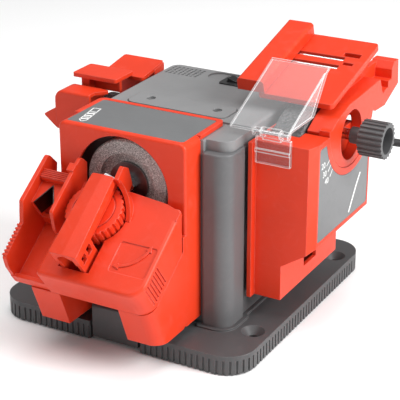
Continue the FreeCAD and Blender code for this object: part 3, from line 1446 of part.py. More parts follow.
def clamp_jaw():
    pad = block(BAR_X - JAW_W / 2, BAR_X + JAW_W / 2, JAW_FRONT, JAW_BACK, BAR_LOW, BAR_LOW + JAW_T)
    stem = cylinder("z", BAR_LOW - JAW_STEM_L, BAR_LOW + JAW_T / 2, POCKET_X, POCKET_Y, JAW_STEM_R)
    return on_apron(join(pad, stem))


def gauge_slide():
    low = DECK_TOP + GAP
    bar = block(SLIDE_LEFT, SLIDE_RIGHT, SLIDE_FRONT, SLIDE_BACK, low, low + SLIDE_H)
    pitch = (SLIDE_BACK - SLIDE_FRONT) / SLIDE_RIBS
    ribs = []
    for k in range(SLIDE_RIBS):
        front = SLIDE_FRONT + (k + 0.25) * pitch
        ribs.append(block(SLIDE_LEFT, SLIDE_RIGHT, front, front + pitch / 2, low + SLIDE_H - 1,
                          low + SLIDE_H + SLIDE_RIB_H))
    return on_apron(join(bar, *ribs))


# Chisel module

def chisel_profile(grow, left):
    return [
        (left, CHISEL_LOW - grow),
        (CHISEL_SKIRT_RIGHT + grow, CHISEL_LOW - grow),
        (CHISEL_SKIRT_RIGHT + grow, CHISEL_SKIRT_TOP - grow / 2),
        (CHISEL_RIGHT + grow, CHISEL_BELLY - grow / 2),
        (CHISEL_RIGHT + grow, CHISEL_TOP + grow),
        (left, CHISEL_TOP + grow),
    ]


def chisel_housing():
    wall = CHISEL_WALL
    outer = plate("y", CHISEL_FRONT, CHISEL_BACK, chisel_profile(0, CHISEL_LEFT))
    chamfer = plate("z", 0, FAR, [
        (CHISEL_RIGHT - CHISEL_CHAMFER_X, CHISEL_FRONT - 1),
        (CHISEL_RIGHT + 1, CHISEL_FRONT - 1),
        (CHISEL_RIGHT + 1, CHISEL_FRONT + CHISEL_CHAMFER_Y),
        (CHISEL_RIGHT, CHISEL_FRONT + CHISEL_CHAMFER_Y),
        (CHISEL_RIGHT - CHISEL_CHAMFER_X, CHISEL_FRONT),
    ])
    tail = block(CHISEL_LEFT - 1, FAR, CHISEL_SKIRT_BACK, FAR, 0, CHISEL_SKIRT_TOP)
    hollow = plate("y", CHISEL_FRONT + wall, CHISEL_BACK - wall, chisel_profile(-wall, CHISEL_LEFT - 1))
    tail_wall = block(CHISEL_LEFT - 1, FAR, CHISEL_SKIRT_BACK - wall, FAR, 0, CHISEL_SKIRT_TOP + wall)
    shell = outer.cut([chamfer, tail]).cut(hollow.cut(tail_wall))
    flange = block(CHISEL_LEFT, CHISEL_LEFT + CHISEL_FLANGE_T, CHISEL_FLANGE_FRONT, CHISEL_FRONT + wall,
                   CHISEL_LOW, CHISEL_TOP)
    recess = cylinder("x", ARM_LEFT - STONE_ROOM, FAR, TILT_Y, TILT_Z, DISC_R + GAP)
    bridge_front = STUD_Y - BRIDGE_HALF_W
    bridge_back = STUD_Y + BRIDGE_HALF_W
    bridge = block(BRIDGE_LEFT, BRIDGE_LEFT + BRIDGE_T, bridge_front, bridge_back, BRIDGE_LOW, BRIDGE_TOP)
    bridge = bridge.fuse(cylinder("x", BRIDGE_LEFT, BRIDGE_LEFT + BRIDGE_T, STUD_Y, STUD_Z, STUD_HEAD_R))
    shelf = block(BRIDGE_LEFT, CHISEL_RIGHT - wall / 2, bridge_front, bridge_back, BRIDGE_LOW,
                  TILT_Z - RING_R - wall)
    body = join(shell.cut(recess), flange, bridge, shelf)
    low_y, high_y, low_z, high_z = SKIRT_NOTCH
    label_y0, label_y1, label_z0, label_z1 = CHISEL_LABEL
    label = plate("x", CHISEL_RIGHT - LABEL_DEPTH, CHISEL_RIGHT + 1,
                  rectangle(label_y0, label_y1, label_z0, label_z1, LABEL_CORNER))
    label = label.cut(cylinder("x", 0, FAR, TILT_Y, TILT_Z, RING_R))
    stone_left = CHISEL_STONE_LEFT - STONE_ROOM
    slot_half = math.sqrt(CHISEL_STONE_R ** 2 - (CHISEL_TOP - wall - AXIS_Z) ** 2) + STONE_ROOM
    cuts = [
        label,
        block(stone_left, ARM_LEFT - STONE_ROOM + 1, AXIS_Y - slot_half, AXIS_Y + slot_half,
              CHISEL_TOP - wall - 1, FAR),
        block(CHISEL_SKIRT_RIGHT - wall - 1, CHISEL_SKIRT_RIGHT + 1, low_y, high_y, low_z, high_z),
        cylinder("x", BRIDGE_LEFT - 1, BRIDGE_LEFT + BRIDGE_T + 1, STUD_Y, STUD_Z, STUD_R + SEAT),
    ]
    return body.cut(cuts)


def chisel_label_plate():
    y0, y1, z0, z1 = CHISEL_LABEL
    low = CHISEL_RIGHT - LABEL_DEPTH
    panel = plate("x", low, low + LABEL_T, rectangle(y0 + GAP, y1 - GAP, z0 + GAP, z1 - GAP, LABEL_CORNER))
    return panel.cut(cylinder("x", 0, FAR, TILT_Y, TILT_Z, RING_R + GAP)).Solids


def table_arm():
    right = CHISEL_RIGHT - GAP
    disc_left = BRIDGE_LEFT + BRIDGE_T + GAP
    disc = cylinder("x", disc_left, right, TILT_Y, TILT_Z, DISC_R)
    over = block(0, FAR, -FAR, FAR, TILT_Z - 2, FAR)
    disc = disc.cut(over)
    body = plate("x", ARM_LEFT, right, [(TILT_Y + y, TILT_Z + z) for y, z in ARM_OUTLINE])
    web = block(ARM_LEFT, ARM_LEFT + WEB_T, TILT_Y + WEB_FRONT, TILT_Y + WEB_BACK, TILT_Z + WEB_LOW,
                TILT_Z + WEB_HIGH)
    hook_front, hook_back, hook_low, hook_high = HOOK_WEB
    hook = block(ARM_LEFT, ARM_LEFT + WEB_T, TILT_Y + hook_front, TILT_Y + hook_back, TILT_Z + hook_low,
                 TILT_Z + hook_high)
    above = on_table(block(-FAR, FAR, -FAR, FAR, -TABLE_T, FAR))
    body = join(disc, body.cut(above), web.cut(above), hook.cut(above))
    return body.cut(cylinder("x", disc_left - 1, right + 1, STUD_Y, STUD_Z, HOLE_R))


def chisel_table():
    body = plate("z", -TABLE_T, 0, rectangle(TABLE_LEFT, TABLE_RIGHT, 0, TABLE_L, TABLE_CORNER))
    cuts = []
    for y in ROD_Y:
        half = ROD_SLOT_W / 2
        cuts.append(block(TABLE_LEFT - 1, ROD_SLOT_END, y - half, y + half, -TABLE_T - 1, 1))
        cuts.append(cylinder("x", ROD_SLOT_END - 1, ROD_SLOT_END + ROD_SEAT, y, -TABLE_T / 2, ROD_R + SEAT))
    for x0, x1, y0, y1 in TABLE_WINDOWS:
        cuts.append(block(x0, x1, y0, y1, -TABLE_T - 1, 1))
    return on_table(body.cut(cuts))


def guide_rods():
    return [on_table(cylinder("x", ROD_LEFT, ROD_SLOT_END + ROD_SEAT, y, -TABLE_T / 2, ROD_R)) for y in ROD_Y]


def fence():
    bar = plate("y", 0, TABLE_L - GAP, [
        (FENCE_LEFT, GAP),
        (FENCE_RIGHT, GAP),
        (FENCE_RIGHT, FENCE_TOP, FENCE_EDGE),
        (FENCE_LEFT, FENCE_TOP, FENCE_EDGE),
    ])
    lugs = []
    holes = []
    for y in ROD_Y:
        half = ROD_SLOT_W / 2 - GAP
        lugs.append(block(LUG_LEFT, LUG_RIGHT, y - half, y + half, -TABLE_T, 1))
        holes.append(cylinder("x", 0, FAR, y, -TABLE_T / 2, ROD_R + RUN))
    return on_table(join(bar, *lugs).cut(holes))


def lock_stud():
    start = BRIDGE_LEFT - STUD_HEAD_T
    shank = cylinder("x", start, STUD_RIGHT, STUD_Y, STUD_Z, STUD_R)
    return join(shank, cylinder("x", start, BRIDGE_LEFT, STUD_Y, STUD_Z, STUD_HEAD_R))


def lock_knob():
    end = LOCK_LEFT + LOCK_L
    body = join(cylinder("x", LOCK_LEFT, end, STUD_Y, STUD_Z, LOCK_R),
                cylinder("x", CHISEL_RIGHT + GAP, LOCK_LEFT + 1, STUD_Y, STUD_Z, LOCK_NECK_R))
    groove = cylinder("x", LOCK_LEFT - 1, end + 1, STUD_Y + LOCK_R, STUD_Z, LOCK_RIB_R)
    cuts = [spin(groove, "x", STUD_Y, STUD_Z, 360.0 * k / LOCK_RIBS) for k in range(LOCK_RIBS)]
    cuts.append(cylinder("x", end - LOCK_CUP_D, end + 1, STUD_Y, STUD_Z, LOCK_CUP_R))
    cuts.append(cylinder("x", CHISEL_RIGHT - 1, end, STUD_Y, STUD_Z, STUD_R + RUN))
    return body.cut(cuts)


def shield_bracket():
    ear_left = CLIP_LEFT + CLIP_EAR + GAP
    ear_right = CLIP_RIGHT - CLIP_EAR - GAP
    back = CHISEL_FRONT
    front = back - CLIP_T
    low_top = HINGE_Z - HINGE_R - 1.5
    sheet = block(CLIP_LEFT, CLIP_RIGHT, front, back, CLIP_LOW, low_top)
    neck = block(ear_left, ear_right, HINGE_Y, back, low_top - 1, HINGE_Z)
    knuckle = cylinder("x", ear_left, ear_right, HINGE_Y, HINGE_Z, HINGE_R)
    middle = (CLIP_LOW + low_top) / 2
    rib = block(CLIP_LEFT, CLIP_RIGHT, front - CLIP_RIB, front + 1, middle - CLIP_RIB, middle + CLIP_RIB)
    return join(sheet, neck, knuckle, rib).cut(cylinder("x", 0, FAR, HINGE_Y, HINGE_Z, HINGE_PIN_R + SEAT))


def shield():
    rise = V(0, SHIELD_TOP_Y - HINGE_Y, SHIELD_TOP_Z - HINGE_Z - HINGE_R)
    length = rise.Length
    slope = math.degrees(math.atan2(rise.z, rise.y))
    flat = block(SHIELD_LEFT, SHIELD_RIGHT, -HINGE_R, length, -SHIELD_T, 0)
    window = tilt(flat, HINGE_Y, HINGE_Z + HINGE_R, slope)
    gusset = plate("x", SHIELD_RIGHT - SHIELD_T, SHIELD_RIGHT, [
        (HINGE_Y, HINGE_Z + HINGE_R - 1),
        (GUSSET_Y, GUSSET_Z),
        (SHIELD_TOP_Y - 2, SHIELD_TOP_Z - 2),
    ])
    ears = [cylinder("x", start, start + CLIP_EAR, HINGE_Y, HINGE_Z, HINGE_R)
            for start in (CLIP_LEFT, CLIP_RIGHT - CLIP_EAR)]
    room = cylinder("x", CLIP_LEFT + CLIP_EAR, CLIP_RIGHT - CLIP_EAR, HINGE_Y, HINGE_Z, HINGE_R + GAP)
    pin = cylinder("x", CLIP_LEFT - 1, CLIP_RIGHT + 1, HINGE_Y, HINGE_Z, HINGE_PIN_R + RUN)
    return join(window, gusset, *ears).cut([room, pin])


def shield_pin():
    return cylinder("x", CLIP_LEFT, CLIP_RIGHT, HINGE_Y, HINGE_Z, HINGE_PIN_R)


# Knife module

def knife_housing():
    wall = KNIFE_WALL
    right = HOUSE_LEFT - GAP
    outer = plate("z", KNIFE_LOW, KNIFE_TOP, [
        (KNIFE_LEFT, KNIFE_FRONT, KNIFE_CORNER),
        (right, KNIFE_FRONT),
        (right, KNIFE_BACK),
        (KNIFE_LEFT, KNIFE_BACK, KNIFE_CORNER),
    ])
    outer = soften(outer, 2.0, lambda box: level_at(KNIFE_TOP)(box) and box.XMin < right - 1)
    hollow = block(KNIFE_LEFT + wall, right + 1, KNIFE_FRONT + wall, KNIFE_BACK - wall, KNIFE_LOW + wall,
                   KNIFE_TOP - wall)
    slot_left = KNIFE_STONE_RIGHT - KNIFE_STONE_W - STONE_ROOM
    slot = block(slot_left, KNIFE_STONE_RIGHT + STONE_ROOM, AXIS_Y - KNIFE_STONE_R - STONE_ROOM,
                 AXIS_Y + KNIFE_STONE_R + STONE_ROOM, KNIFE_TOP - wall - 1, KNIFE_TOP + 1)
    return outer.cut([hollow, slot])


def knife_guide():
    """Rounded hood in front of the knife stone, open at its right side."""
    wall = GUIDE_WALL
    back = FRONT_BLADE[2] - GAP
    hood = plate("y", GUIDE_FRONT, back, [
        (GUIDE_LEFT, GUIDE_LOW, SMALL_ROUND),
        (GUIDE_RIGHT, GUIDE_LOW),
        (GUIDE_RIGHT, GUIDE_TOP),
        (GUIDE_LEFT, GUIDE_TOP, 8.0),
    ])
    hood = soften(hood, 2.0, lambda box: box.YMax < GUIDE_FRONT + TOUCH and box.ZMin > GUIDE_LOW + 1)
    room = block(GUIDE_LEFT + wall, GUIDE_RIGHT + 1, GUIDE_FRONT + wall, back + 1, GUIDE_LOW - 1,
                 GUIDE_TOP - wall)
    foot = block(GUIDE_FOOT_LEFT, GUIDE_RIGHT, GUIDE_FRONT, GUIDE_FRONT + wall, KNIFE_TOP, GUIDE_LOW + 2)
    wing = plate("z", GUIDE_TOP - wall, GUIDE_TOP, [
        (GUIDE_RIGHT - wall, GUIDE_FRONT + 2 * wall),
        (GUIDE_RIGHT + GUIDE_WING, back - wall / 2, wall / 2),
        (GUIDE_RIGHT - wall, back),
    ])
    fin = plate("y", GUIDE_FRONT, GUIDE_FRONT + wall, [
        (GUIDE_LEFT + wall / 2, GUIDE_LOW + wall / 2),
        (GUIDE_LEFT - GUIDE_FIN_L, GUIDE_LOW + GUIDE_FIN_L, wall / 2),
        (GUIDE_LEFT + wall / 2, GUIDE_LOW + GUIDE_FIN_H),
    ])
    return join(hood.cut(room), foot, wing, fin)


def scissor_guide_front():
    x0, x1, y0, y1, z = FRONT_BLADE
    post_left, post_right = FRONT_POST
    sheet = plate("z", z, z + BLADE_T, rectangle(x0, x1, y0, y1, SMALL_ROUND))
    post = block(post_left, post_right, y0 + BLADE_T, y1, KNIFE_TOP, z + BLADE_T / 2)
    web_front = y0 + BLADE_WEB
    web = block(x0 + BLADE_T, x1 - BLADE_T, web_front, web_front + BLADE_T, z - BLADE_WEB, z + BLADE_T / 2)
    return join(sheet, post, web)


def scissor_guide_rear():
    x0, y0, y1, z = REAR_BLADE
    left, right, front, back = REAR_POST
    flat = plate("z", 0, BLADE_T, rectangle(x0, right - GAP, 0, y1 - y0, SMALL_ROUND))
    sheet = tilt(flat, y0, z, REAR_BLADE_SLOPE)
    post = block(left, right, front, back - 1, KNIFE_TOP, FAR)
    web = block(x0 + BLADE_T, right - GAP, front, front + BLADE_T, KNIFE_TOP, FAR)
    over = tilt(block(-FAR, FAR, -FAR, FAR, BLADE_T / 2, FAR), y0, z, REAR_BLADE_SLOPE)
    return join(sheet, post.cut(over), web.cut(over))


# Cord, coil and plug

def cord_path(route):
    """Straight runs joined by the largest tangent arcs that the runs allow."""
    points = [V(*p) for p in route]
    edges = []
    radii = []
    last = points[0]
    for before, here, after in zip(points, points[1:], points[2:]):
        back = (before - here).normalize()
        ahead = (after - here).normalize()
        turn = math.pi - back.getAngle(ahead)
        trim = 0.45 * min((here - before).Length, (after - here).Length)
        radius = trim / math.tan(turn / 2)
        radii.append(radius)
        inward = (back + ahead).normalize()
        middle = here + inward * (radius / math.cos(turn / 2) - radius)
        enter = here + back * trim
        leave = here + ahead * trim
        edges.append(Part.LineSegment(last, enter).toShape())
        edges.append(Part.Arc(enter, middle, leave).toShape())
        last = leave
    edges.append(Part.LineSegment(last, points[-1]).toShape())
    return Part.Wire(edges), radii


def swept(path, start, direction):
    """Round tube along a path of lines and arcs."""
    circle = Part.Wire(Part.makeCircle(CORD_R, start, direction))
    return path.makePipeShell([circle], True, False)


def power_cord():
    path, radii = cord_path(CORD_ROUTE)
    first = V(*CORD_ROUTE[0])
    tube = swept(path, first, V(*CORD_ROUTE[1]) - first)
    print("cord radii", [round(radius) for radius in radii])
    print("cord volume ratio", tube.Volume / (math.pi * CORD_R ** 2 * path.Length), "length", path.Length)
    return tube


def coil_path():
    """Spiral in on the lower layer, climb in one half turn, spiral out on the upper layer."""
    half_turns = []
    radius = COIL_R
    for k in range(2 * COIL_TURNS):
        half_turns.append((radius, 0.0))
        radius -= COIL_PITCH / 2
    half_turns.append((radius, COIL_LAYER))
    for k in range(2 * COIL_TURNS - 1):
        radius += COIL_PITCH / 2
        half_turns.append((radius, 0.0))
    here = V(COIL_X + COIL_R, COIL_Y, COIL_Z)
    start = here + V(0, 2 * CORD_R, 0)
    edges = [Part.LineSegment(start, here).toShape()]
    side = 1
    for radius, climb in half_turns:
        there = here + V(-2 * side * radius, 0, climb)
        diameter = there - here
        middle = here + diameter * 0.5 + V(0, -side * diameter.Length / 2, 0)
        edges.append(Part.Arc(here, middle, there).toShape())
        here = there
        side = -side
    edges.append(Part.LineSegment(here, here + V(0, -side * COIL_EXIT, 0)).toShape())
    return Part.Wire(edges), start, here + V(0, -side * COIL_EXIT, 0)


def least_gap(path):
    """Smallest room between two stretches of the wound tube, on points along it."""
    points = path.discretize(Distance=3.0)
    step = path.Length / (len(points) - 1)
    skip = int(4 * 2 * CORD_R / step)
    nearest = FAR
    for i, here in enumerate(points):
        for there in points[i + skip:]:
            nearest = min(nearest, here.distanceToPoint(there))
    return nearest - 2 * CORD_R


def cord_coil():
    path, start, end = coil_path()
    tube = swept(path, start, V(0, -1, 0))
    print("coil gap", least_gap(path), "length", path.Length)
    print("coil volume ratio", tube.Volume / (math.pi * CORD_R ** 2 * path.Length))
    return tube


def cord_tie():
    """Band round one side of the coil."""
    room = GAP + CORD_R
    west = COIL_X - COIL_R - room
    east = COIL_X - COIL_R + COIL_TURNS * COIL_PITCH + room
    low = COIL_Z - room
    high = COIL_Z + COIL_LAYER + room
    y0 = COIL_Y - TIE_W / 2
    y1 = COIL_Y + TIE_W / 2
    outer = plate("y", y0, y1, rectangle(west - TIE_T, east + TIE_T, low - TIE_T, high + TIE_T, SMALL_ROUND))
    return outer.cut(plate("y", y0, y1, rectangle(west, east, low, high, 1.0)))


def plug_end():
    return V(COIL_X + COIL_R, COIL_Y - COIL_EXIT, COIL_Z + COIL_LAYER)


def plug():
    end = plug_end()
    neck = PLUG_L / 3
    back = end.y - PLUG_L
    body = plate("y", back, end.y - neck,
                 rectangle(end.x - PLUG_W / 2, end.x + PLUG_W / 2, end.z - PLUG_H / 2, end.z + PLUG_H / 2,
                           2 * PLUG_PIN_R))
    return join(body, cone("y", end.y - neck, end.y, end.x, end.z, PLUG_H / 2 - 2, CORD_R + 1))


def plug_pins():
    end = plug_end()
    face = end.y - PLUG_L
    pins = []
    for side in (-1, 1):
        x = end.x + side * PLUG_PIN_GAP / 2
        pins.append(cylinder("y", face - PLUG_PIN_L, face, x, end.z, PLUG_PIN_R))
    return pins


def strain_relief():
    flange = cylinder("y", HOUSE_BACK, HOUSE_BACK + RELIEF_FLANGE_T, RELIEF_X, RELIEF_Z, RELIEF_FLANGE_R)
    stub = cylinder("y", HOUSE_BACK - HOUSE_WALL, HOUSE_BACK + 1, RELIEF_X, RELIEF_Z, RELIEF_STUB_R)
    start = HOUSE_BACK + RELIEF_FLANGE_T
    taper = cone("y", start, HOUSE_BACK + RELIEF_L, RELIEF_X, RELIEF_Z, RELIEF_BIG_R, RELIEF_SMALL_R)
    return join(flange, stub, taper)


def main():
    os.makedirs("parts", exist_ok=True)
    single = [
        base_plate, module_latch, main_housing, top_cover, switch_body, switch_rocker,
        main_shaft, stator_core, armature, commutator, cooling_fan, bevel_gear, bevel_pinion, drill_shaft,
        drill_wheel, wheel_flange, wheel_nut, chisel_stone, chisel_stone_nut, knife_stone, knife_stone_nut,
        drill_housing, drill_label_plate, drill_apron, swing_pivot_pin, clamp_bridge, guide_liner,
        clamp_knob, clamp_screw, clamp_jaw, gauge_slide,
        chisel_housing, table_arm, chisel_table, fence, lock_stud, lock_knob,
        shield_bracket, shield, shield_pin,
        knife_housing, knife_guide, scissor_guide_front, scissor_guide_rear,
        strain_relief, power_cord, cord_coil, cord_tie, plug,
    ]
    several = [
        rubber_feet, base_screws, top_cover_screws, main_bearings, drill_shaft_bearings, field_windings,
        carbon_brushes, chisel_label_plate, guide_rods, plug_pins,
    ]
    for make in single:
        save(make.__name__, make())
    for make in several:
        save(make.__name__, *make())


main()
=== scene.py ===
import math

import bmesh
import bpy
from bpy.props import FloatProperty, FloatVectorProperty, IntProperty, PointerProperty
from bpy.types import Operator, Panel, PropertyGroup
from mathutils import Matrix, Vector


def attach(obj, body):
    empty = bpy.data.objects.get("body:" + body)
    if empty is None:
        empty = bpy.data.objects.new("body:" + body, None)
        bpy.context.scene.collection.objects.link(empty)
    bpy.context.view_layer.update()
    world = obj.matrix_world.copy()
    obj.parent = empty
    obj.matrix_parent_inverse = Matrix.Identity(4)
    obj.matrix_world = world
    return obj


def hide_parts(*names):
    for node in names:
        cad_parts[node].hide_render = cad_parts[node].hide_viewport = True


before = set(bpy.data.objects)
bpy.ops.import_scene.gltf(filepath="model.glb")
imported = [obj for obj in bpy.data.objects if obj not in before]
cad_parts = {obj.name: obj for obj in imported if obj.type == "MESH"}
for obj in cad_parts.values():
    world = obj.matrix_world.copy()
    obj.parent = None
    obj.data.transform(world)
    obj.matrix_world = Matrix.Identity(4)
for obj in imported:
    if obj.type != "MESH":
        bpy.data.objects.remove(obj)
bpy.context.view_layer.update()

bl_info = {
    "name": "Bench sharpener",
    "version": (1, 0, 0),
    "blender": (4, 5, 0),
    "location": "View3D > Sidebar > Sharpener",
    "description": "Finishes, cord, relief marks and studio for a packed bench sharpener",
    "category": "Object",
}

MM = 0.001

# Places are set out in millimetres from the middle of the base, which lies this far
# behind the frame's origin.
BASE_MIDDLE_Y = -7.0

# The apron's panel slopes up to the back; the labels lie on top of the drill module
# and on the right of the chisel module, below the table's ring.
APRON_Y, APRON_Z, APRON_SLOPE = -97.4, 110.8, 36.4
LABEL_TOP_Z = 155.6
CHISEL_LABEL_X = 118.4
RING_Y, RING_Z = 25.0, 154.0

# Swing arrow, on the slope of the apron
ARROW_CENTRE = (19.3, -25.9)
ARROW_START, ARROW_SWEEP = -75.0, 57.0
ARROW_HEAD_LONG, ARROW_HEAD_HALF = 4.5, 2.4
ARROW_SUNK = 0.65

# Lining of the point gauge's notch, on the slope of the apron
NOTCH_TIP = (-47.0, -4.0)
NOTCH_SPREAD, NOTCH_REACH = 8.2, 15.6
NOTCH_LOW, NOTCH_HIGH = -9.0, 5.25
NOTCH_SHEET = 0.6

# Drill pictogram, round its own middle
BIT_LINE = 0.8
BIT_HALF_W = 2.7
BIT_LOW, BIT_HIGH = -12.0, 12.0
BIT_SHANK, BIT_POINT = 5.0, 3.0
FLUTES, FLUTE_FIRST, FLUTE_STEP = 3, 1.0, 5.2
FLUTE_RISE, FLUTE_W = 3.6, 1.9
BIT_SPOT, BIT_TURN = (-37.5, -69.5), 9.0

# Angle dial and chisel pictogram, as depth and height on the chisel label
DIAL_TICKS = ((-15.5, 130.0), (-13.2, 125.2), (-9.8, 120.6))
TICK_OUT, TICK_IN, TICK_W = 2.2, 3.6, 0.7
DIAL_NUMBERS = (("20", -25.8, 128.6), ("30", -23.4, 121.8), ("40", -19.6, 115.6))
TEXT_PER_HEIGHT = 1.35
CHISEL_SHANK, CHISEL_SHANK_W = ((24.5, 78.5), (37.0, 96.0)), 2.0
CHISEL_BLADE = ((36.2, 96.6), (37.8, 95.4), (44.0, 102.6), (42.2, 103.4))

CORD_ROUTE = (
    (52.0, 97.0, 84.0),
    (52.0, 116.0, 84.0),
    (58.5, 135.5, 83.8),
    (75.0, 153.0, 82.8),
    (98.5, 168.0, 80.6),
    (123.0, 179.0, 74.0),
    (149.0, 184.5, 62.5),
    (176.0, 184.5, 48.0),
    (203.0, 178.0, 33.0),
    (227.0, 163.5, 20.0),
    (244.5, 142.5, 10.5),
    (254.5, 116.5, 4.75),
)
COIL_MIDDLE = (208.0, 86.0)
COIL_FIRST_RADIUS = 46.5
COIL_PITCH = 7.2
COIL_LAYER = 7.2
COIL_LOW_Z = 4.75
COIL_TURNS = 3
COIL_EXIT = 36.0
COIL_EXIT_SHARES = (0.3, 0.65, 1.0)
POINTS_PER_HALF_TURN = 8
CORD_STEPS = 6
CORD_ROUNDNESS = 4

CAMERA_PLACE = (465.3, -815.2, 478.3)
CAMERA_RIGHT = (0.8735, 0.4868, -0.0014)
CAMERA_UP = (-0.1921, 0.3473, 0.9179)
CAMERA_BACK = (0.4473, -0.8015, 0.3969)
CAMERA_SENSOR = 36.0
CAMERA_FOCUS_PIXELS = 1377.36
CAMERA_NEAR, CAMERA_FAR = 0.05, 60.0
PHOTO_PIXELS = 400.0

# Each lamp's place in millimetres and its width in metres
LAMP_AIM = (20.0, -10.0, 80.0)
LAMPS = (
    ("key", (1450.0, 60.0, 900.0), 1.0),
    ("fill", (-900.0, -1250.0, 900.0), 1.3),
    ("top", (0.0, -200.0, 1750.0), 1.6),
)
FLOOR_HALF = 9.0

# Colours of pieces that are seldom changed
BLACK = (0.022, 0.022, 0.023)
GLOSS_BLACK = (0.014, 0.014, 0.015)
SCREW_STEEL = (0.4, 0.4, 0.405)
FLANGE_STEEL = (0.2, 0.2, 0.205)
CORE_STEEL = (0.34, 0.34, 0.35)
BLACKENED_STEEL = (0.06, 0.057, 0.055)
BARE_COPPER = (0.72, 0.33, 0.17)
ENAMELLED_COPPER = (0.6, 0.24, 0.09)
NICKEL = (0.7, 0.68, 0.62)
# The wheel's grit is light, and its colour is brightened further as painted light, to make up for the
# shade inside the hood and as painted glints on the grains.
WHEEL_BOND, WHEEL_GRIT_WITH_PAINTED_LIGHT = (0.22, 0.215, 0.205), (1.0, 0.99, 0.97)
STONE_BOND, STONE_GRIT = (0.035, 0.035, 0.036), (0.2, 0.2, 0.205)
# The sheet's rim white is a painted highlight on its cut edges, and its clear grey, more opaque at grazing
# angles, is a painted reflection.
SHEET_CLEAR, SHEET_RIM_GLINT = (0.72, 0.75, 0.76), (0.97, 0.97, 0.97)
WHITE = (1.0, 1.0, 1.0, 1.0)

# Fineness of the patterns, in grains or wires per metre, and how lines stretch
WHEEL_GRAIN, STONE_GRAIN = 1900.0, 1300.0
PLASTIC_GRAIN, RUBBER_GRAIN = 1500.0, 900.0
WINDING_WIRES = 330.0
PAPER_GRAIN = 300.0
LINES_ALONG_X = (0.1, 12.0, 12.0)
LINES_ALONG_Y = (12.0, 0.1, 12.0)
LINES_ON_DISC = (9.0, 1.0, 9.0)
LINES_ROUND_X = (9.0, 1.0, 1.0)
LINES_UP = (9.0, 9.0, 0.3)
LINES_ALL_WAYS = (9.0, 9.0, 9.0)
LINES_ON_SCREW = (10.0, 10.0, 1.0)
LINES_ON_PIN = (10.0, 0.2, 10.0)
LAMINATIONS = (22.0, 0.3, 0.3)

# Relief of the patterns and rounding of the edges, in metres
GRAIN_RELIEF, LINE_RELIEF = 0.00006, 0.00004
GRIT_RELIEF, RUBBER_RELIEF, WIRE_RELIEF = 0.0003, 0.00008, 0.0003
METAL_EDGE, LABEL_EDGE, LINING_EDGE = 0.0003, 0.0003, 0.0004
STONE_EDGE, SHEET_EDGE, INK_EDGE = 0.0006, 0.0011, 0.00002

PLASTIC_IOR, SHEET_IOR = 1.46, 1.5
RED_SHINE = 0.36


def place(x, y, z):
    """Point in metres of the frame, from millimetres round the middle of the base."""
    return Vector((x, y + BASE_MIDDLE_Y, z)) * MM


def apron_place(height):
    """Frame whose local XY plane lies on the apron's slope, raised by a height in millimetres."""
    middle = Matrix.Translation(place(0.0, APRON_Y, APRON_Z))
    slope = Matrix.Rotation(math.radians(APRON_SLOPE), 4, "X")
    return middle @ slope @ Matrix.Translation((0.0, 0.0, height * MM))


def colour_property(name, description, default):
    return FloatVectorProperty(name=name, description=description, subtype="COLOR", size=3,
                               min=0.0, max=1.0, default=default)


def length_property(name, description, default):
    return FloatProperty(name=name, description=description, default=default, min=0.0,
                         unit="LENGTH", precision=5)


def power_property(name, description, default):
    return FloatProperty(name=name, description=description, default=default, min=0.0, unit="POWER")


class SharpenerColours(PropertyGroup):
    red: colour_property("Module red", "Satin plastic of the three modules", (0.7, 0.041, 0.0105))
    # The body and the cover are one grey plastic: the body's grey is darkened as painted shade on its
    # front faces, and the cover's grey lightened as painted light on its top.
    body: colour_property("Body grey", "Plastic of the motor housing", (0.112, 0.112, 0.115))
    cover: colour_property("Cover grey", "Plastic of the top cover", (0.225, 0.225, 0.228))
    base: colour_property("Base grey", "Plastic of the base and the release latch", (0.066, 0.066, 0.068))
    label: colour_property("Label grey", "Sunk plates on the modules", (0.15, 0.152, 0.155))
    knob: colour_property("Knob grey", "Ribbed lock knob", (0.074, 0.074, 0.076))
    ink: colour_property("Mark white", "Printed pictograms and dial numbers", (0.82, 0.82, 0.81))
    steel: colour_property("Steel", "Bright steel pieces", (0.66, 0.66, 0.67))
    rubber: colour_property("Rubber", "Cord, feet and plug", (0.017, 0.017, 0.018))


class SharpenerSizes(PropertyGroup):
    cord_diameter: length_property("Cord diameter", "Outer diameter of the power cord", 0.0065)
    cord_length: length_property("Cord length", "Power cord from its relief to its plug", 1.71)
    edge: length_property("Edge", "Rounding that moulded edges show", 0.0007)
    relief: length_property("Relief", "Height of the moulded arrow", 0.0009)
    ink: length_property("Ink", "Thickness of printed marks", 0.00008)
    arrow_radius: length_property("Arrow radius", "Middle line of the curved arrow", 0.023)
    arrow_width: length_property("Arrow width", "Shaft of the curved arrow", 0.0017)
    number: length_property("Number height", "Height of the dial numbers", 0.0046)
    steps: IntProperty(name="Arc steps", description="Segments of the curved arrow", default=28,
                       min=4, max=96)


class SharpenerLight(PropertyGroup):
    ambient: FloatProperty(name="Ambient", description="Light from all round", default=0.33, min=0.0)
    key: power_property("Key", "Soft lamp on the right", 32.0)
    fill: power_property("Fill", "Soft lamp in front on the left", 1.0)
    top: power_property("Top", "Soft lamp overhead", 22.5)
    floor: colour_property("Floor", "Pale studio floor", (0.97, 0.97, 0.97))


# Node helpers

def add(tree, kind, **settings):
    node = tree.nodes.new(kind)
    for name, value in settings.items():
        setattr(node, name, value)
    return node


def wire(tree, source, target):
    tree.links.new(source, target)


def start_group(name, inputs, outputs):
    """New shader group with its input and output nodes."""
    tree = bpy.data.node_groups.new(name, "ShaderNodeTree")
    for label, kind in inputs:
        tree.interface.new_socket(label, in_out="INPUT", socket_type=kind)
    for label, kind in outputs:
        tree.interface.new_socket(label, in_out="OUTPUT", socket_type=kind)
    return tree, add(tree, "NodeGroupInput"), add(tree, "NodeGroupOutput")


def ranged(tree, source, low, high, to_low, to_high):
    """Value mapped from one range to another and clamped."""
    node = add(tree, "ShaderNodeMapRange")
    wire(tree, source, node.inputs[0])
    for socket, value in zip(node.inputs[1:5], (low, high, to_low, to_high)):
        socket.default_value = value
    return node.outputs[0]


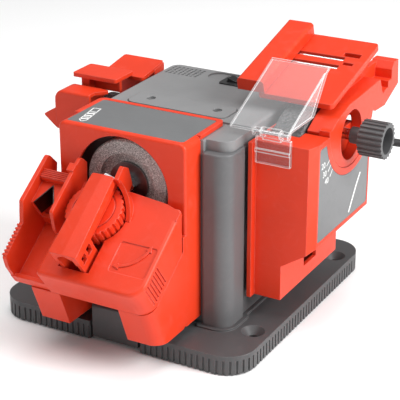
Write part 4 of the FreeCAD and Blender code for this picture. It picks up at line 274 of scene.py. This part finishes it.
def noise(tree, vector, scale, detail, distortion=0.0):
    node = add(tree, "ShaderNodeTexNoise")
    wire(tree, vector, node.inputs["Vector"])
    if isinstance(scale, bpy.types.NodeSocket):
        wire(tree, scale, node.inputs["Scale"])
    else:
        node.inputs["Scale"].default_value = scale
    node.inputs["Detail"].default_value = detail
    node.inputs["Distortion"].default_value = distortion
    return node.outputs[0]


def product(tree, first, second):
    node = add(tree, "ShaderNodeMath", operation="MULTIPLY", use_clamp=True)
    wire(tree, first, node.inputs[0])
    wire(tree, second, node.inputs[1])
    return node.outputs[0]


def mixed_colour(tree, mask, first, second):
    """Colour between two, each a plain colour or the output of another node."""
    node = add(tree, "ShaderNodeMix", data_type="RGBA")
    wire(tree, mask, node.inputs[0])
    for socket, colour in ((node.inputs[6], first), (node.inputs[7], second)):
        if isinstance(colour, bpy.types.NodeSocket):
            wire(tree, colour, socket)
        else:
            socket.default_value = (*colour, 1.0)
    return node.outputs[2]


def moulded_grain_group():
    """Fine spark texture of moulded plastic, and broad patches of slightly different shade."""
    tree, given, result = start_group(
        "moulded_grain",
        [("Vector", "NodeSocketVector"), ("Scale", "NodeSocketFloat")],
        [("Height", "NodeSocketFloat"), ("Patch", "NodeSocketFloat")],
    )
    wire(tree, noise(tree, given.outputs["Vector"], given.outputs["Scale"], 2.0), result.inputs["Height"])
    broad = noise(tree, given.outputs["Vector"], 26.0, 4.0, 0.6)
    wire(tree, ranged(tree, broad, 0.32, 0.68, 0.0, 1.0), result.inputs["Patch"])
    return tree


def rubbed_and_highlit_edges_group():
    """Rounded normal at edges, and masks of the edges, used for where hands have rubbed them and for
    painted highlights on the edges of stones and clear sheets.
    """
    tree, given, result = start_group(
        "rubbed_edges",
        [("Vector", "NodeSocketVector"), ("Radius", "NodeSocketFloat")],
        [("Mask", "NodeSocketFloat"), ("Edge", "NodeSocketFloat"), ("Normal", "NodeSocketVector")],
    )
    rounded = add(tree, "ShaderNodeBevel", samples=6)
    wire(tree, given.outputs["Radius"], rounded.inputs["Radius"])
    surface = add(tree, "ShaderNodeNewGeometry")
    facing = add(tree, "ShaderNodeVectorMath", operation="DOT_PRODUCT")
    wire(tree, rounded.outputs["Normal"], facing.inputs[0])
    wire(tree, surface.outputs["Normal"], facing.inputs[1])
    edge = ranged(tree, facing.outputs["Value"], 0.995, 0.86, 0.0, 1.0)
    broken = ranged(tree, noise(tree, given.outputs["Vector"], 160.0, 5.0), 0.36, 0.62, 0.25, 1.0)
    wire(tree, product(tree, edge, broken), result.inputs["Mask"])
    wire(tree, edge, result.inputs["Edge"])
    wire(tree, rounded.outputs["Normal"], result.inputs["Normal"])
    return tree


def handling_marks_group():
    """Faint smears and scuffs."""
    tree, given, result = start_group(
        "handling_marks", [("Vector", "NodeSocketVector")], [("Mask", "NodeSocketFloat")]
    )
    smear = noise(tree, given.outputs["Vector"], 70.0, 6.0, 2.2)
    wire(tree, ranged(tree, smear, 0.52, 0.74, 0.0, 1.0), result.inputs["Mask"])
    return tree


def bonded_grit_group():
    """Sharp grains of a grinding wheel."""
    tree, given, result = start_group(
        "bonded_grit",
        [("Vector", "NodeSocketVector"), ("Scale", "NodeSocketFloat")],
        [("Speckle", "NodeSocketFloat"), ("Height", "NodeSocketFloat")],
    )
    cells = add(tree, "ShaderNodeTexVoronoi")
    wire(tree, given.outputs["Vector"], cells.inputs["Vector"])
    wire(tree, given.outputs["Scale"], cells.inputs["Scale"])
    shade = add(tree, "ShaderNodeRGBToBW")
    wire(tree, cells.outputs["Color"], shade.inputs[0])
    fine = ranged(tree, noise(tree, given.outputs["Vector"], 1500.0, 3.0), 0.3, 0.7, 0.0, 1.0)
    coarse = ranged(tree, shade.outputs[0], 0.25, 0.75, 0.1, 1.0)
    wire(tree, product(tree, coarse, fine), result.inputs["Speckle"])
    wire(tree, cells.outputs["Distance"], result.inputs["Height"])
    return tree


def drawn_lines_group():
    """Long fine lines left by drawing, turning or stacking a metal."""
    tree, given, result = start_group(
        "drawn_lines",
        [("Vector", "NodeSocketVector"), ("Stretch", "NodeSocketVector")],
        [("Value", "NodeSocketFloat")],
    )
    stretched = add(tree, "ShaderNodeVectorMath", operation="MULTIPLY")
    wire(tree, given.outputs["Vector"], stretched.inputs[0])
    wire(tree, given.outputs["Stretch"], stretched.inputs[1])
    lines = noise(tree, stretched.outputs[0], 100.0, 3.0)
    wire(tree, ranged(tree, lines, 0.25, 0.75, 0.0, 1.0), result.inputs["Value"])
    return tree


GROUPS = {
    "moulded_grain": moulded_grain_group,
    "rubbed_edges": rubbed_and_highlit_edges_group,
    "handling_marks": handling_marks_group,
    "bonded_grit": bonded_grit_group,
    "drawn_lines": drawn_lines_group,
}


def put_group(tree, name, vector, **values):
    """Group node of a shared effect, built at its first use."""
    effect = bpy.data.node_groups.get(name) or GROUPS[name]()
    node = add(tree, "ShaderNodeGroup", node_tree=effect)
    wire(tree, vector, node.inputs["Vector"])
    for label, value in values.items():
        node.inputs[label].default_value = value
    return node


def start_material(name):
    """Empty material with its Principled shader and Object coordinates."""
    material = bpy.data.materials.new(name)
    material.use_nodes = True
    tree = material.node_tree
    tree.nodes.clear()
    shader = add(tree, "ShaderNodeBsdfPrincipled")
    wire(tree, shader.outputs[0], add(tree, "ShaderNodeOutputMaterial").inputs["Surface"])
    return material, tree, shader, add(tree, "ShaderNodeTexCoord").outputs["Object"]


def bump(tree, shader, height, strength, distance, normal=None):
    node = add(tree, "ShaderNodeBump")
    node.inputs["Strength"].default_value = strength
    node.inputs["Distance"].default_value = distance
    wire(tree, height, node.inputs["Height"])
    if normal is not None:
        wire(tree, normal, node.inputs["Normal"])
    wire(tree, node.outputs["Normal"], shader.inputs["Normal"])


def shaded(colour, factor):
    return tuple(min(1.0, channel * factor) for channel in colour)


def lightened(colour, share):
    return tuple(channel + (1.0 - channel) * share for channel in colour)


def plastic(name, colour, roughness, depth=0.25, rub=0.10, edge=None, shine=0.5):
    """Moulded plastic with spark grain, rounded and rubbed edges and faint handling marks."""
    material, tree, shader, vector = start_material(name)
    sizes = bpy.context.scene.sharpener_sizes
    texture = put_group(tree, "moulded_grain", vector, Scale=PLASTIC_GRAIN)
    edges = put_group(tree, "rubbed_edges", vector, Radius=sizes.edge if edge is None else edge)
    marks = put_group(tree, "handling_marks", vector)
    broad = mixed_colour(tree, texture.outputs["Patch"], shaded(colour, 0.94), shaded(colour, 1.03))
    faint = ranged(tree, marks.outputs["Mask"], 0.0, 1.0, 0.0, 0.25)
    marked = mixed_colour(tree, faint, broad, lightened(colour, 0.05))
    worn = mixed_colour(tree, edges.outputs["Mask"], marked, lightened(colour, rub))
    wire(tree, worn, shader.inputs["Base Color"])
    dull = ranged(tree, marks.outputs["Mask"], 0.0, 1.0, roughness, roughness + 0.12)
    wire(tree, dull, shader.inputs["Roughness"])
    shader.inputs["IOR"].default_value = PLASTIC_IOR
    shader.inputs["Specular IOR Level"].default_value = shine
    bump(tree, shader, texture.outputs["Height"], depth, GRAIN_RELIEF, edges.outputs["Normal"])
    return material


def metal(name, colour, roughness, stretch, edge=METAL_EDGE):
    """Bare metal with drawn or turned lines and bright edges."""
    material, tree, shader, vector = start_material(name)
    lines = put_group(tree, "drawn_lines", vector, Stretch=stretch)
    edges = put_group(tree, "rubbed_edges", vector, Radius=edge)
    marks = put_group(tree, "handling_marks", vector)
    lined = mixed_colour(tree, lines.outputs["Value"], shaded(colour, 0.86), shaded(colour, 1.05))
    bright = mixed_colour(tree, edges.outputs["Mask"], lined, lightened(colour, 0.3))
    wire(tree, bright, shader.inputs["Base Color"])
    shader.inputs["Metallic"].default_value = 1.0
    dull = ranged(tree, marks.outputs["Mask"], 0.0, 1.0, roughness, roughness + 0.18)
    wire(tree, dull, shader.inputs["Roughness"])
    bump(tree, shader, lines.outputs["Value"], 0.15, LINE_RELIEF, edges.outputs["Normal"])
    return material


def stone(name, dark, light, grain, metallic):
    """Bonded grit, dull between the grains and sparkling on them, with a painted highlight on its edges.
    """
    material, tree, shader, vector = start_material(name)
    grit = put_group(tree, "bonded_grit", vector, Scale=grain)
    edges = put_group(tree, "rubbed_edges", vector, Radius=STONE_EDGE)
    grains = mixed_colour(tree, grit.outputs["Speckle"], dark, light)
    # Painted highlight: the stone's edges are lightened towards the grit colour.
    grains_with_painted_rim_highlight = mixed_colour(tree, edges.outputs["Mask"], grains, lightened(light, 0.35))
    wire(tree, grains_with_painted_rim_highlight, shader.inputs["Base Color"])
    wire(tree, ranged(tree, grit.outputs["Speckle"], 0.0, 1.0, 0.75, 0.38), shader.inputs["Roughness"])
    shader.inputs["Metallic"].default_value = metallic
    bump(tree, shader, grit.outputs["Height"], 0.6, GRIT_RELIEF, edges.outputs["Normal"])
    return material


def clear_plastic(name):
    """Thin clear sheet whose cut edges gather light: a painted highlight whitens the edges, and a painted
    reflection makes the pale sheet more opaque at grazing angles.
    """
    material, tree, shader, vector = start_material(name)
    edges = put_group(tree, "rubbed_edges", vector, Radius=SHEET_EDGE)
    marks = put_group(tree, "handling_marks", vector)
    grazing = add(tree, "ShaderNodeLayerWeight")
    grazing.inputs["Blend"].default_value = 0.35
    # Painted reflection: the pale sheet grows more opaque towards grazing angles.
    body = ranged(tree, grazing.outputs["Facing"], 0.2, 1.0, 0.09, 0.4)
    rim = ranged(tree, edges.outputs["Edge"], 0.0, 0.6, 0.0, 0.7)
    total = add(tree, "ShaderNodeMath", operation="ADD", use_clamp=True)
    wire(tree, body, total.inputs[0])
    wire(tree, rim, total.inputs[1])
    wire(tree, total.outputs[0], shader.inputs["Alpha"])
    # Painted highlight: the cut edges turn white and more opaque.
    clear_with_painted_glint = mixed_colour(tree, edges.outputs["Edge"], SHEET_CLEAR, SHEET_RIM_GLINT)
    wire(tree, clear_with_painted_glint, shader.inputs["Base Color"])
    wire(tree, ranged(tree, marks.outputs["Mask"], 0.0, 1.0, 0.04, 0.14), shader.inputs["Roughness"])
    shader.inputs["IOR"].default_value = SHEET_IOR
    wire(tree, edges.outputs["Normal"], shader.inputs["Normal"])
    return material


def rubber(name, colour, roughness):
    """Soft rubber with a matt skin and a bloom of dust."""
    material, tree, shader, vector = start_material(name)
    texture = put_group(tree, "moulded_grain", vector, Scale=RUBBER_GRAIN)
    marks = put_group(tree, "handling_marks", vector)
    skin = mixed_colour(tree, texture.outputs["Patch"], shaded(colour, 0.8), shaded(colour, 1.25))
    bloom = ranged(tree, marks.outputs["Mask"], 0.0, 1.0, 0.0, 0.4)
    wire(tree, mixed_colour(tree, bloom, skin, lightened(colour, 0.05)), shader.inputs["Base Color"])
    dull = ranged(tree, texture.outputs["Patch"], 0.0, 1.0, roughness, roughness + 0.15)
    wire(tree, dull, shader.inputs["Roughness"])
    bump(tree, shader, texture.outputs["Height"], 0.3, RUBBER_RELIEF)
    return material


def wound_wire(name, colour, scale):
    """Enamelled wires lying side by side, with painted shade between them and a painted highlight along
    each.
    """
    material, tree, shader, vector = start_material(name)
    wires = add(tree, "ShaderNodeTexWave", wave_type="RINGS", rings_direction="X")
    wires.inputs["Scale"].default_value = scale
    wires.inputs["Distortion"].default_value = 1.2
    wire(tree, vector, wires.inputs["Vector"])
    # Painted light: dark bands of shade between the wires and bright bands along them.
    lit = mixed_colour(tree, wires.outputs["Fac"], shaded(colour, 0.45), shaded(colour, 1.15))
    wire(tree, lit, shader.inputs["Base Color"])
    wire(tree, ranged(tree, wires.outputs["Fac"], 0.0, 1.0, 0.5, 0.25), shader.inputs["Roughness"])
    shader.inputs["Metallic"].default_value = 0.8
    bump(tree, shader, wires.outputs["Fac"], 0.6, WIRE_RELIEF)
    return material


def material_of(name, make, *values, **options):
    """Material by name, made at its first use."""
    return bpy.data.materials.get(name) or make(name, *values, **options)


def finish_nodes(names, material):
    for name in names:
        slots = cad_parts[name].data.materials
        slots.clear()
        slots.append(material)


def chosen_colour(name):
    return tuple(getattr(bpy.context.scene.sharpener_colours, name))


def red_plastic():
    return material_of("module_red_plastic", plastic, chosen_colour("red"), 0.4, shine=RED_SHINE)


def mark_ink():
    return material_of("printed_mark", plastic, chosen_colour("ink"), 0.5, rub=0.0, edge=INK_EDGE)


def cord_rubber():
    return material_of("cord_rubber", rubber, chosen_colour("rubber"), 0.55)


# Pieces

def make_piece(name, mesh, body, material):
    """Object of a finished bmesh, riding on a body of the frame."""
    bmesh.ops.remove_doubles(mesh, verts=mesh.verts, dist=1e-7)
    bmesh.ops.recalc_face_normals(mesh, faces=mesh.faces)
    data = bpy.data.meshes.new(name)
    mesh.to_mesh(data)
    mesh.free()
    data.materials.append(material)
    piece = bpy.data.objects.new(name, data)
    bpy.context.scene.collection.objects.link(piece)
    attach(piece, body)
    return piece


def raise_faces(mesh, height):
    """Flat faces in the XY plane made into a slab of that height."""
    grown = bmesh.ops.extrude_face_region(mesh, geom=mesh.faces[:])
    top = [part for part in grown["geom"] if isinstance(part, bmesh.types.BMVert)]
    bmesh.ops.translate(mesh, verts=top, vec=(0.0, 0.0, height))


def flat_face(mesh, corners):
    """Flat face from corners in millimetres."""
    return mesh.faces.new([mesh.verts.new((x * MM, y * MM, 0.0)) for x, y in corners])


def flat_bar(mesh, start, end, width):
    """Flat bar between two points in millimetres."""
    along = (Vector(end) - Vector(start)).normalized()
    aside = Vector((-along.y, along.x)) * (width / 2)
    first, last = Vector(start), Vector(end)
    flat_face(mesh, [first + aside, last + aside, last - aside, first - aside])


class SHARPENER_OT_housings(Operator):
    """Plastic of the base, the motor housing and the three modules"""
    bl_idname = "sharpener.housings"
    bl_label = "Housings"

    def execute(self, context):
        finish_nodes([
            "drill_housing", "drill_apron", "clamp_bridge", "clamp_knob", "gauge_slide", "chisel_housing",
            "table_arm", "chisel_table", "fence", "knife_housing", "knife_guide", "scissor_guide_front",
            "scissor_guide_rear",
        ], red_plastic())
        # Painted light: the housing and the cover share one plastic, darker on the housing for painted
        # shade and lighter on the cover for painted top light.
        finish_nodes(["main_housing"],
                     material_of("body_grey_plastic", plastic, chosen_colour("body"), 0.42, depth=0.35))
        finish_nodes(["top_cover"],
                     material_of("cover_grey_plastic", plastic, chosen_colour("cover"), 0.42, depth=0.35))
        finish_nodes(["base_plate", "module_latch"],
                     material_of("base_grey_plastic", plastic, chosen_colour("base"), 0.46, depth=0.4))
        finish_nodes(["drill_label_plate", "chisel_label_plate"],
                     material_of("label_grey_plastic", plastic, chosen_colour("label"), 0.34, depth=0.1,
                                 edge=LABEL_EDGE))
        finish_nodes(["lock_knob"],
                     material_of("knob_grey_plastic", plastic, chosen_colour("knob"), 0.44, depth=0.3))
        finish_nodes(["switch_body", "cord_tie", "cooling_fan", "carbon_brushes"],
                     material_of("black_plastic", plastic, BLACK, 0.4, rub=0.05))
        finish_nodes(["switch_rocker"],
                     material_of("gloss_black_plastic", plastic, GLOSS_BLACK, 0.16, depth=0.03, rub=0.04))
        return {"FINISHED"}


class SHARPENER_OT_metals(Operator):
    """Shafts, screws, rods, gears and the motor's metal"""
    bl_idname = "sharpener.metals"
    bl_label = "Metals"

    def execute(self, context):
        steel = chosen_colour("steel")
        finish_nodes(["main_shaft", "guide_rods", "shield_pin", "lock_stud", "chisel_stone_nut",
                      "knife_stone_nut"],
                     material_of("drawn_steel", metal, steel, 0.2, LINES_ALONG_X))
        finish_nodes(["drill_shaft", "guide_liner", "clamp_jaw", "wheel_nut"],
                     material_of("ground_steel", metal, steel, 0.24, LINES_ALONG_Y))
        finish_nodes(["clamp_screw", "swing_pivot_pin", "main_bearings", "drill_shaft_bearings",
                      "base_screws", "bevel_gear", "bevel_pinion"],
                     material_of("turned_steel", metal, shaded(steel, 0.9), 0.3, LINES_ALL_WAYS))
        finish_nodes(["top_cover_screws"],
                     material_of("dull_screw_steel", metal, SCREW_STEEL, 0.42, LINES_ON_SCREW))
        finish_nodes(["wheel_flange"],
                     material_of("flange_steel", metal, FLANGE_STEEL, 0.4, LINES_ON_DISC))
        finish_nodes(["stator_core", "armature"],
                     material_of("stacked_steel", metal, CORE_STEEL, 0.45, LAMINATIONS))
        finish_nodes(["commutator"],
                     material_of("turned_copper", metal, BARE_COPPER, 0.3, LINES_ROUND_X))
        finish_nodes(["field_windings"],
                     material_of("copper_wire", wound_wire, ENAMELLED_COPPER, WINDING_WIRES))
        finish_nodes(["plug_pins"],
                     material_of("nickel_pins", metal, NICKEL, 0.25, LINES_ON_PIN))
        return {"FINISHED"}


class SHARPENER_OT_stones(Operator):
    """Drill wheel and the two grinding stones"""
    bl_idname = "sharpener.stones"
    bl_label = "Stones"

    def execute(self, context):
        # The wheel's grit colour is partly painted light, brightened for the shade inside the hood and for
        # the glints of the grains.
        finish_nodes(["drill_wheel"],
                     material_of("plated_grit", stone, WHEEL_BOND, WHEEL_GRIT_WITH_PAINTED_LIGHT, WHEEL_GRAIN, 0.15))
        finish_nodes(["chisel_stone", "knife_stone"],
                     material_of("vitrified_grit", stone, STONE_BOND, STONE_GRIT, STONE_GRAIN, 0.0))
        return {"FINISHED"}


class SHARPENER_OT_clear_pieces(Operator):
    """Hinged shield and the clip that carries it"""
    bl_idname = "sharpener.clear_pieces"
    bl_label = "Clear shield"

    def execute(self, context):
        finish_nodes(["shield", "shield_bracket"], material_of("clear_plastic", clear_plastic))
        return {"FINISHED"}


class SHARPENER_OT_rubber_pieces(Operator):
    """Feet, strain relief and plug"""
    bl_idname = "sharpener.rubber_pieces"
    bl_label = "Rubber pieces"

    def execute(self, context):
        finish_nodes(["rubber_feet", "strain_relief", "plug"], cord_rubber())
        return {"FINISHED"}


def coil_points():
    """Control points of the wound turns: in on the lower layer, up, and out on the upper layer."""
    step = math.pi / POINTS_PER_HALF_TURN
    outward = 1.0 / (0.75 + 0.25 * math.cos(step))
    turns = [(COIL_FIRST_RADIUS - k * COIL_PITCH / 2, 0.0) for k in range(2 * COIL_TURNS)]
    inner = turns[-1][0] - COIL_PITCH / 2
    turns.append((inner, COIL_LAYER))
    turns.extend((inner + (k + 1) * COIL_PITCH / 2, 0.0) for k in range(2 * COIL_TURNS - 1))
    x = COIL_MIDDLE[0] + COIL_FIRST_RADIUS
    y = COIL_MIDDLE[1]
    z = COIL_LOW_Z
    side = 1
    points = []
    for radius, climb in turns:
        middle = x - side * radius
        for k in range(POINTS_PER_HALF_TURN):
            angle = (k + 0.5) * step
            points.append((middle + side * radius * outward * math.cos(angle),
                           y - side * radius * outward * math.sin(angle),
                           z + climb * (k + 0.5) / POINTS_PER_HALF_TURN))
        x -= 2 * side * radius
        z += climb
        side = -side
    points.extend((x, y - share * COIL_EXIT, z) for share in COIL_EXIT_SHARES)
    return points


class SHARPENER_OT_power_cord(Operator):
    """Power cord from the strain relief down to the floor and its stored coil"""
    bl_idname = "sharpener.power_cord"
    bl_label = "Power cord"

    def execute(self, context):
        sizes = context.scene.sharpener_sizes
        points = [place(*p) for p in (*CORD_ROUTE, *coil_points())]
        data = bpy.data.curves.new("mains_lead", "CURVE")
        data.dimensions = "3D"
        spline = data.splines.new("NURBS")
        spline.points.add(len(points) - 1)
        for target, point in zip(spline.points, points):
            target.co = (*point, 1.0)
        spline.order_u = 3
        spline.use_endpoint_u = True
        spline.resolution_u = CORD_STEPS
        data.resolution_u = CORD_STEPS
        data.bevel_depth = sizes.cord_diameter / 2
        data.bevel_resolution = CORD_ROUNDNESS
        data.use_fill_caps = True
        data.materials.append(cord_rubber())
        lead = bpy.data.objects.new("mains_lead", data)
        context.scene.collection.objects.link(lead)
        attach(lead, "frame")
        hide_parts("power_cord", "cord_coil")
        return {"FINISHED"}


def ray(angle):
    """Flat direction at an angle in radians."""
    return Vector((math.cos(angle), math.sin(angle), 0.0))


class SHARPENER_OT_swing_arrow(Operator):
    """Raised two-headed arrow on the apron that shows how it swings"""
    bl_idname = "sharpener.swing_arrow"
    bl_label = "Swing arrow"

    def execute(self, context):
        sizes = context.scene.sharpener_sizes
        radius = sizes.arrow_radius
        centre = Vector((*ARROW_CENTRE, 0.0)) * MM
        start, sweep = math.radians(ARROW_START), math.radians(ARROW_SWEEP)
        head_long, head_half = ARROW_HEAD_LONG * MM, ARROW_HEAD_HALF * MM
        mesh = bmesh.new()
        half = sizes.arrow_width / 2
        rim = [mesh.verts.new(centre + ray(start) * reach) for reach in (radius - half, radius + half)]
        edge = mesh.edges.new(rim)
        bmesh.ops.spin(mesh, geom=[*rim, edge], cent=centre, axis=(0.0, 0.0, 1.0), angle=sweep,
                       steps=sizes.steps, use_merge=False, use_duplicate=False)
        for angle, way in ((start, -1.0), (start + sweep, 1.0)):
            out = ray(angle)
            tip = ray(angle + way * head_long / radius) * radius
            corners = [out * (radius - head_half), out * (radius + head_half), tip]
            mesh.faces.new([mesh.verts.new(centre + corner) for corner in corners])
        bmesh.ops.recalc_face_normals(mesh, faces=mesh.faces)
        raise_faces(mesh, sizes.relief)
        bmesh.ops.transform(mesh, matrix=apron_place(-ARROW_SUNK), verts=mesh.verts)
        make_piece("swing_arrow", mesh, "apron", red_plastic())
        return {"FINISHED"}


class SHARPENER_OT_notch_liner(Operator):
    """Dark bent sheet that lines the V-notch of the point gauge"""
    bl_idname = "sharpener.notch_liner"
    bl_label = "Notch liner"

    def execute(self, context):
        mesh = bmesh.new()
        tip_x, tip_y = NOTCH_TIP
        for side in (-1.0, 1.0):
            flat_bar(mesh, NOTCH_TIP, (tip_x + side * NOTCH_SPREAD, tip_y - NOTCH_REACH), NOTCH_SHEET)
        raise_faces(mesh, (NOTCH_HIGH - NOTCH_LOW) * MM)
        bmesh.ops.transform(mesh, matrix=apron_place(NOTCH_LOW), verts=mesh.verts)
        make_piece("notch_liner", mesh, "apron",
                   material_of("blackened_steel", metal, BLACKENED_STEEL, 0.3, LINES_UP, edge=LINING_EDGE))
        return {"FINISHED"}


class SHARPENER_OT_drill_pictogram(Operator):
    """Plain twist drill pictogram on the drill module's label"""
    bl_idname = "sharpener.drill_pictogram"
    bl_label = "Drill pictogram"

    def execute(self, context):
        sizes = context.scene.sharpener_sizes
        half = BIT_HALF_W
        mesh = bmesh.new()
        for x in (-half, half):
            flat_bar(mesh, (x, BIT_LOW), (x, BIT_HIGH), BIT_LINE)
        for y in (BIT_HIGH, BIT_SHANK):
            flat_bar(mesh, (-half, y), (half, y), BIT_LINE)
        for x in (-half, half):
            flat_bar(mesh, (x, BIT_LOW), (0.0, BIT_LOW - BIT_POINT), BIT_LINE)
        for k in range(FLUTES):
            y = BIT_LOW + FLUTE_FIRST + k * FLUTE_STEP
            flat_bar(mesh, (-half, y), (half, y + FLUTE_RISE), FLUTE_W)
        raise_faces(mesh, sizes.ink)
        turn = Matrix.Rotation(math.radians(BIT_TURN), 4, "Z")
        spot = Matrix.Translation(place(*BIT_SPOT, LABEL_TOP_Z)) @ turn
        bmesh.ops.transform(mesh, matrix=spot, verts=mesh.verts)
        make_piece("drill_pictogram", mesh, "frame", mark_ink())
        return {"FINISHED"}


def side_label_place(y, z):
    """Frame whose local XY plane lies on the chisel label, X to the back and Y up."""
    turn = Matrix(((0.0, 0.0, 1.0), (1.0, 0.0, 0.0), (0.0, 1.0, 0.0))).to_4x4()
    return Matrix.Translation(place(CHISEL_LABEL_X, y, z)) @ turn


class SHARPENER_OT_angle_dial(Operator):
    """Angle ticks and numbers beside the table's ring, and a plain chisel pictogram"""
    bl_idname = "sharpener.angle_dial"
    bl_label = "Angle dial"

    def execute(self, context):
        sizes = context.scene.sharpener_sizes
        ticks = bmesh.new()
        for y, z in DIAL_TICKS:
            outward = Vector((y - RING_Y, z - RING_Z))
            inward = -outward.normalized()
            flat_bar(ticks, outward - inward * TICK_OUT, outward + inward * TICK_IN, TICK_W)
        raise_faces(ticks, sizes.ink)
        bmesh.ops.transform(ticks, matrix=side_label_place(RING_Y, RING_Z), verts=ticks.verts)
        make_piece("angle_ticks", ticks, "frame", mark_ink())
        for number, y, z in DIAL_NUMBERS:
            self.add_number(number, y, z)
        chisel = bmesh.new()
        flat_bar(chisel, *CHISEL_SHANK, CHISEL_SHANK_W)
        flat_face(chisel, CHISEL_BLADE)
        raise_faces(chisel, sizes.ink)
        bmesh.ops.transform(chisel, matrix=side_label_place(0.0, 0.0), verts=chisel.verts)
        make_piece("chisel_pictogram", chisel, "frame", mark_ink())
        return {"FINISHED"}

    def add_number(self, number, y, z):
        """One dial number as a flat mesh raised by the ink's thickness."""
        sizes = bpy.context.scene.sharpener_sizes
        words = bpy.data.curves.new("dial_text", "FONT")
        words.body = number
        words.size = sizes.number * TEXT_PER_HEIGHT
        words.resolution_u = 3
        carrier = bpy.data.objects.new("dial_text", words)
        bpy.context.scene.collection.objects.link(carrier)
        bpy.context.view_layer.update()
        graph = bpy.context.evaluated_depsgraph_get()
        flat = bpy.data.meshes.new_from_object(carrier.evaluated_get(graph))
        mesh = bmesh.new()
        mesh.from_mesh(flat)
        bpy.data.objects.remove(carrier)
        bpy.data.curves.remove(words)
        bpy.data.meshes.remove(flat)
        raise_faces(mesh, sizes.ink)
        bmesh.ops.transform(mesh, matrix=side_label_place(y, z), verts=mesh.verts)
        make_piece("dial_number_" + number, mesh, "frame", mark_ink())


class SHARPENER_OT_stage(Operator):
    """Pale floor, soft lamps and the camera"""
    bl_idname = "sharpener.stage"
    bl_label = "Stage"

    def execute(self, context):
        scene = context.scene
        self.make_floor(scene)
        self.make_world(scene)
        for name, spot, size in LAMPS:
            self.make_lamp(scene, name, spot, size)
        self.make_camera(scene)
        scene.view_settings.view_transform = "Standard"
        return {"FINISHED"}

    def make_floor(self, scene):
        mesh = bmesh.new()
        bmesh.ops.create_grid(mesh, x_segments=2, y_segments=2, size=FLOOR_HALF)
        data = bpy.data.meshes.new("studio_floor")
        mesh.to_mesh(data)
        mesh.free()
        material, tree, shader, vector = start_material("floor_paper")
        pale = tuple(scene.sharpener_light.floor)
        fibres = noise(tree, vector, PAPER_GRAIN, 3.0)
        wire(tree, mixed_colour(tree, fibres, shaded(pale, 0.995), pale), shader.inputs["Base Color"])
        shader.inputs["Roughness"].default_value = 0.9
        shader.inputs["Specular IOR Level"].default_value = 0.1
        data.materials.append(material)
        floor = bpy.data.objects.new("studio_floor", data)
        scene.collection.objects.link(floor)

    def make_world(self, scene):
        world = bpy.data.worlds.new("studio_world")
        world.use_nodes = True
        tree = world.node_tree
        tree.nodes.clear()
        seen = add(tree, "ShaderNodeBackground")
        seen.inputs["Color"].default_value = WHITE
        lit = add(tree, "ShaderNodeBackground")
        lit.inputs["Color"].default_value = WHITE
        lit.inputs["Strength"].default_value = scene.sharpener_light.ambient
        path = add(tree, "ShaderNodeLightPath")
        either = add(tree, "ShaderNodeMath", operation="MAXIMUM")
        wire(tree, path.outputs["Is Camera Ray"], either.inputs[0])
        wire(tree, path.outputs["Is Transmission Ray"], either.inputs[1])
        choice = add(tree, "ShaderNodeMixShader")
        wire(tree, either.outputs[0], choice.inputs[0])
        wire(tree, lit.outputs[0], choice.inputs[1])
        wire(tree, seen.outputs[0], choice.inputs[2])
        wire(tree, choice.outputs[0], add(tree, "ShaderNodeOutputWorld").inputs["Surface"])
        scene.world = world

    def make_lamp(self, scene, name, spot, size):
        data = bpy.data.lights.new(name + "_lamp", "AREA")
        data.energy = getattr(scene.sharpener_light, name)
        data.shape = "DISK"
        data.size = size
        lamp = bpy.data.objects.new(name + "_lamp", data)
        lamp.location = place(*spot)
        towards = place(*LAMP_AIM) - lamp.location
        lamp.rotation_euler = towards.to_track_quat("-Z", "Y").to_euler()
        scene.collection.objects.link(lamp)

    def make_camera(self, scene):
        data = bpy.data.cameras.new("photo_camera")
        data.sensor_width = CAMERA_SENSOR
        data.lens = CAMERA_FOCUS_PIXELS / PHOTO_PIXELS * CAMERA_SENSOR
        data.clip_start = CAMERA_NEAR
        data.clip_end = CAMERA_FAR
        camera = bpy.data.objects.new("photo_camera", data)
        axes = Matrix((CAMERA_RIGHT, CAMERA_UP, CAMERA_BACK)).transposed().to_4x4()
        camera.matrix_world = Matrix.Translation(place(*CAMERA_PLACE)) @ axes
        scene.collection.objects.link(camera)
        scene.camera = camera


OPERATORS = (
    SHARPENER_OT_housings,
    SHARPENER_OT_metals,
    SHARPENER_OT_stones,
    SHARPENER_OT_clear_pieces,
    SHARPENER_OT_rubber_pieces,
    SHARPENER_OT_power_cord,
    SHARPENER_OT_swing_arrow,
    SHARPENER_OT_notch_liner,
    SHARPENER_OT_drill_pictogram,
    SHARPENER_OT_angle_dial,
    SHARPENER_OT_stage,
)


class SHARPENER_PT_pieces(Panel):
    """Pieces, sizes and colours of the sharpener"""
    bl_idname = "SHARPENER_PT_pieces"
    bl_label = "Bench sharpener"
    bl_space_type = "VIEW_3D"
    bl_region_type = "UI"
    bl_category = "Sharpener"

    def draw(self, context):
        layout = self.layout
        for operator in OPERATORS:
            layout.operator(operator.bl_idname, text=operator.bl_label)
        for name in SETTINGS:
            settings = getattr(context.scene, name)
            for key in settings.__annotations__:
                layout.prop(settings, key)


SETTINGS = {
    "sharpener_colours": SharpenerColours,
    "sharpener_sizes": SharpenerSizes,
    "sharpener_light": SharpenerLight,
}
CLASSES = (*SETTINGS.values(), *OPERATORS, SHARPENER_PT_pieces)


def register():
    for kind in CLASSES:
        bpy.utils.register_class(kind)
    for name, kind in SETTINGS.items():
        setattr(bpy.types.Scene, name, PointerProperty(type=kind))


def unregister():
    for name in SETTINGS:
        delattr(bpy.types.Scene, name)
    for kind in reversed(CLASSES):
        bpy.utils.unregister_class(kind)


def main():
    register()
    for operator in OPERATORS:
        group, name = operator.bl_idname.split(".")
        getattr(getattr(bpy.ops, group), name)()
    bpy.context.view_layer.update()


if __name__ == "__main__":
    main()
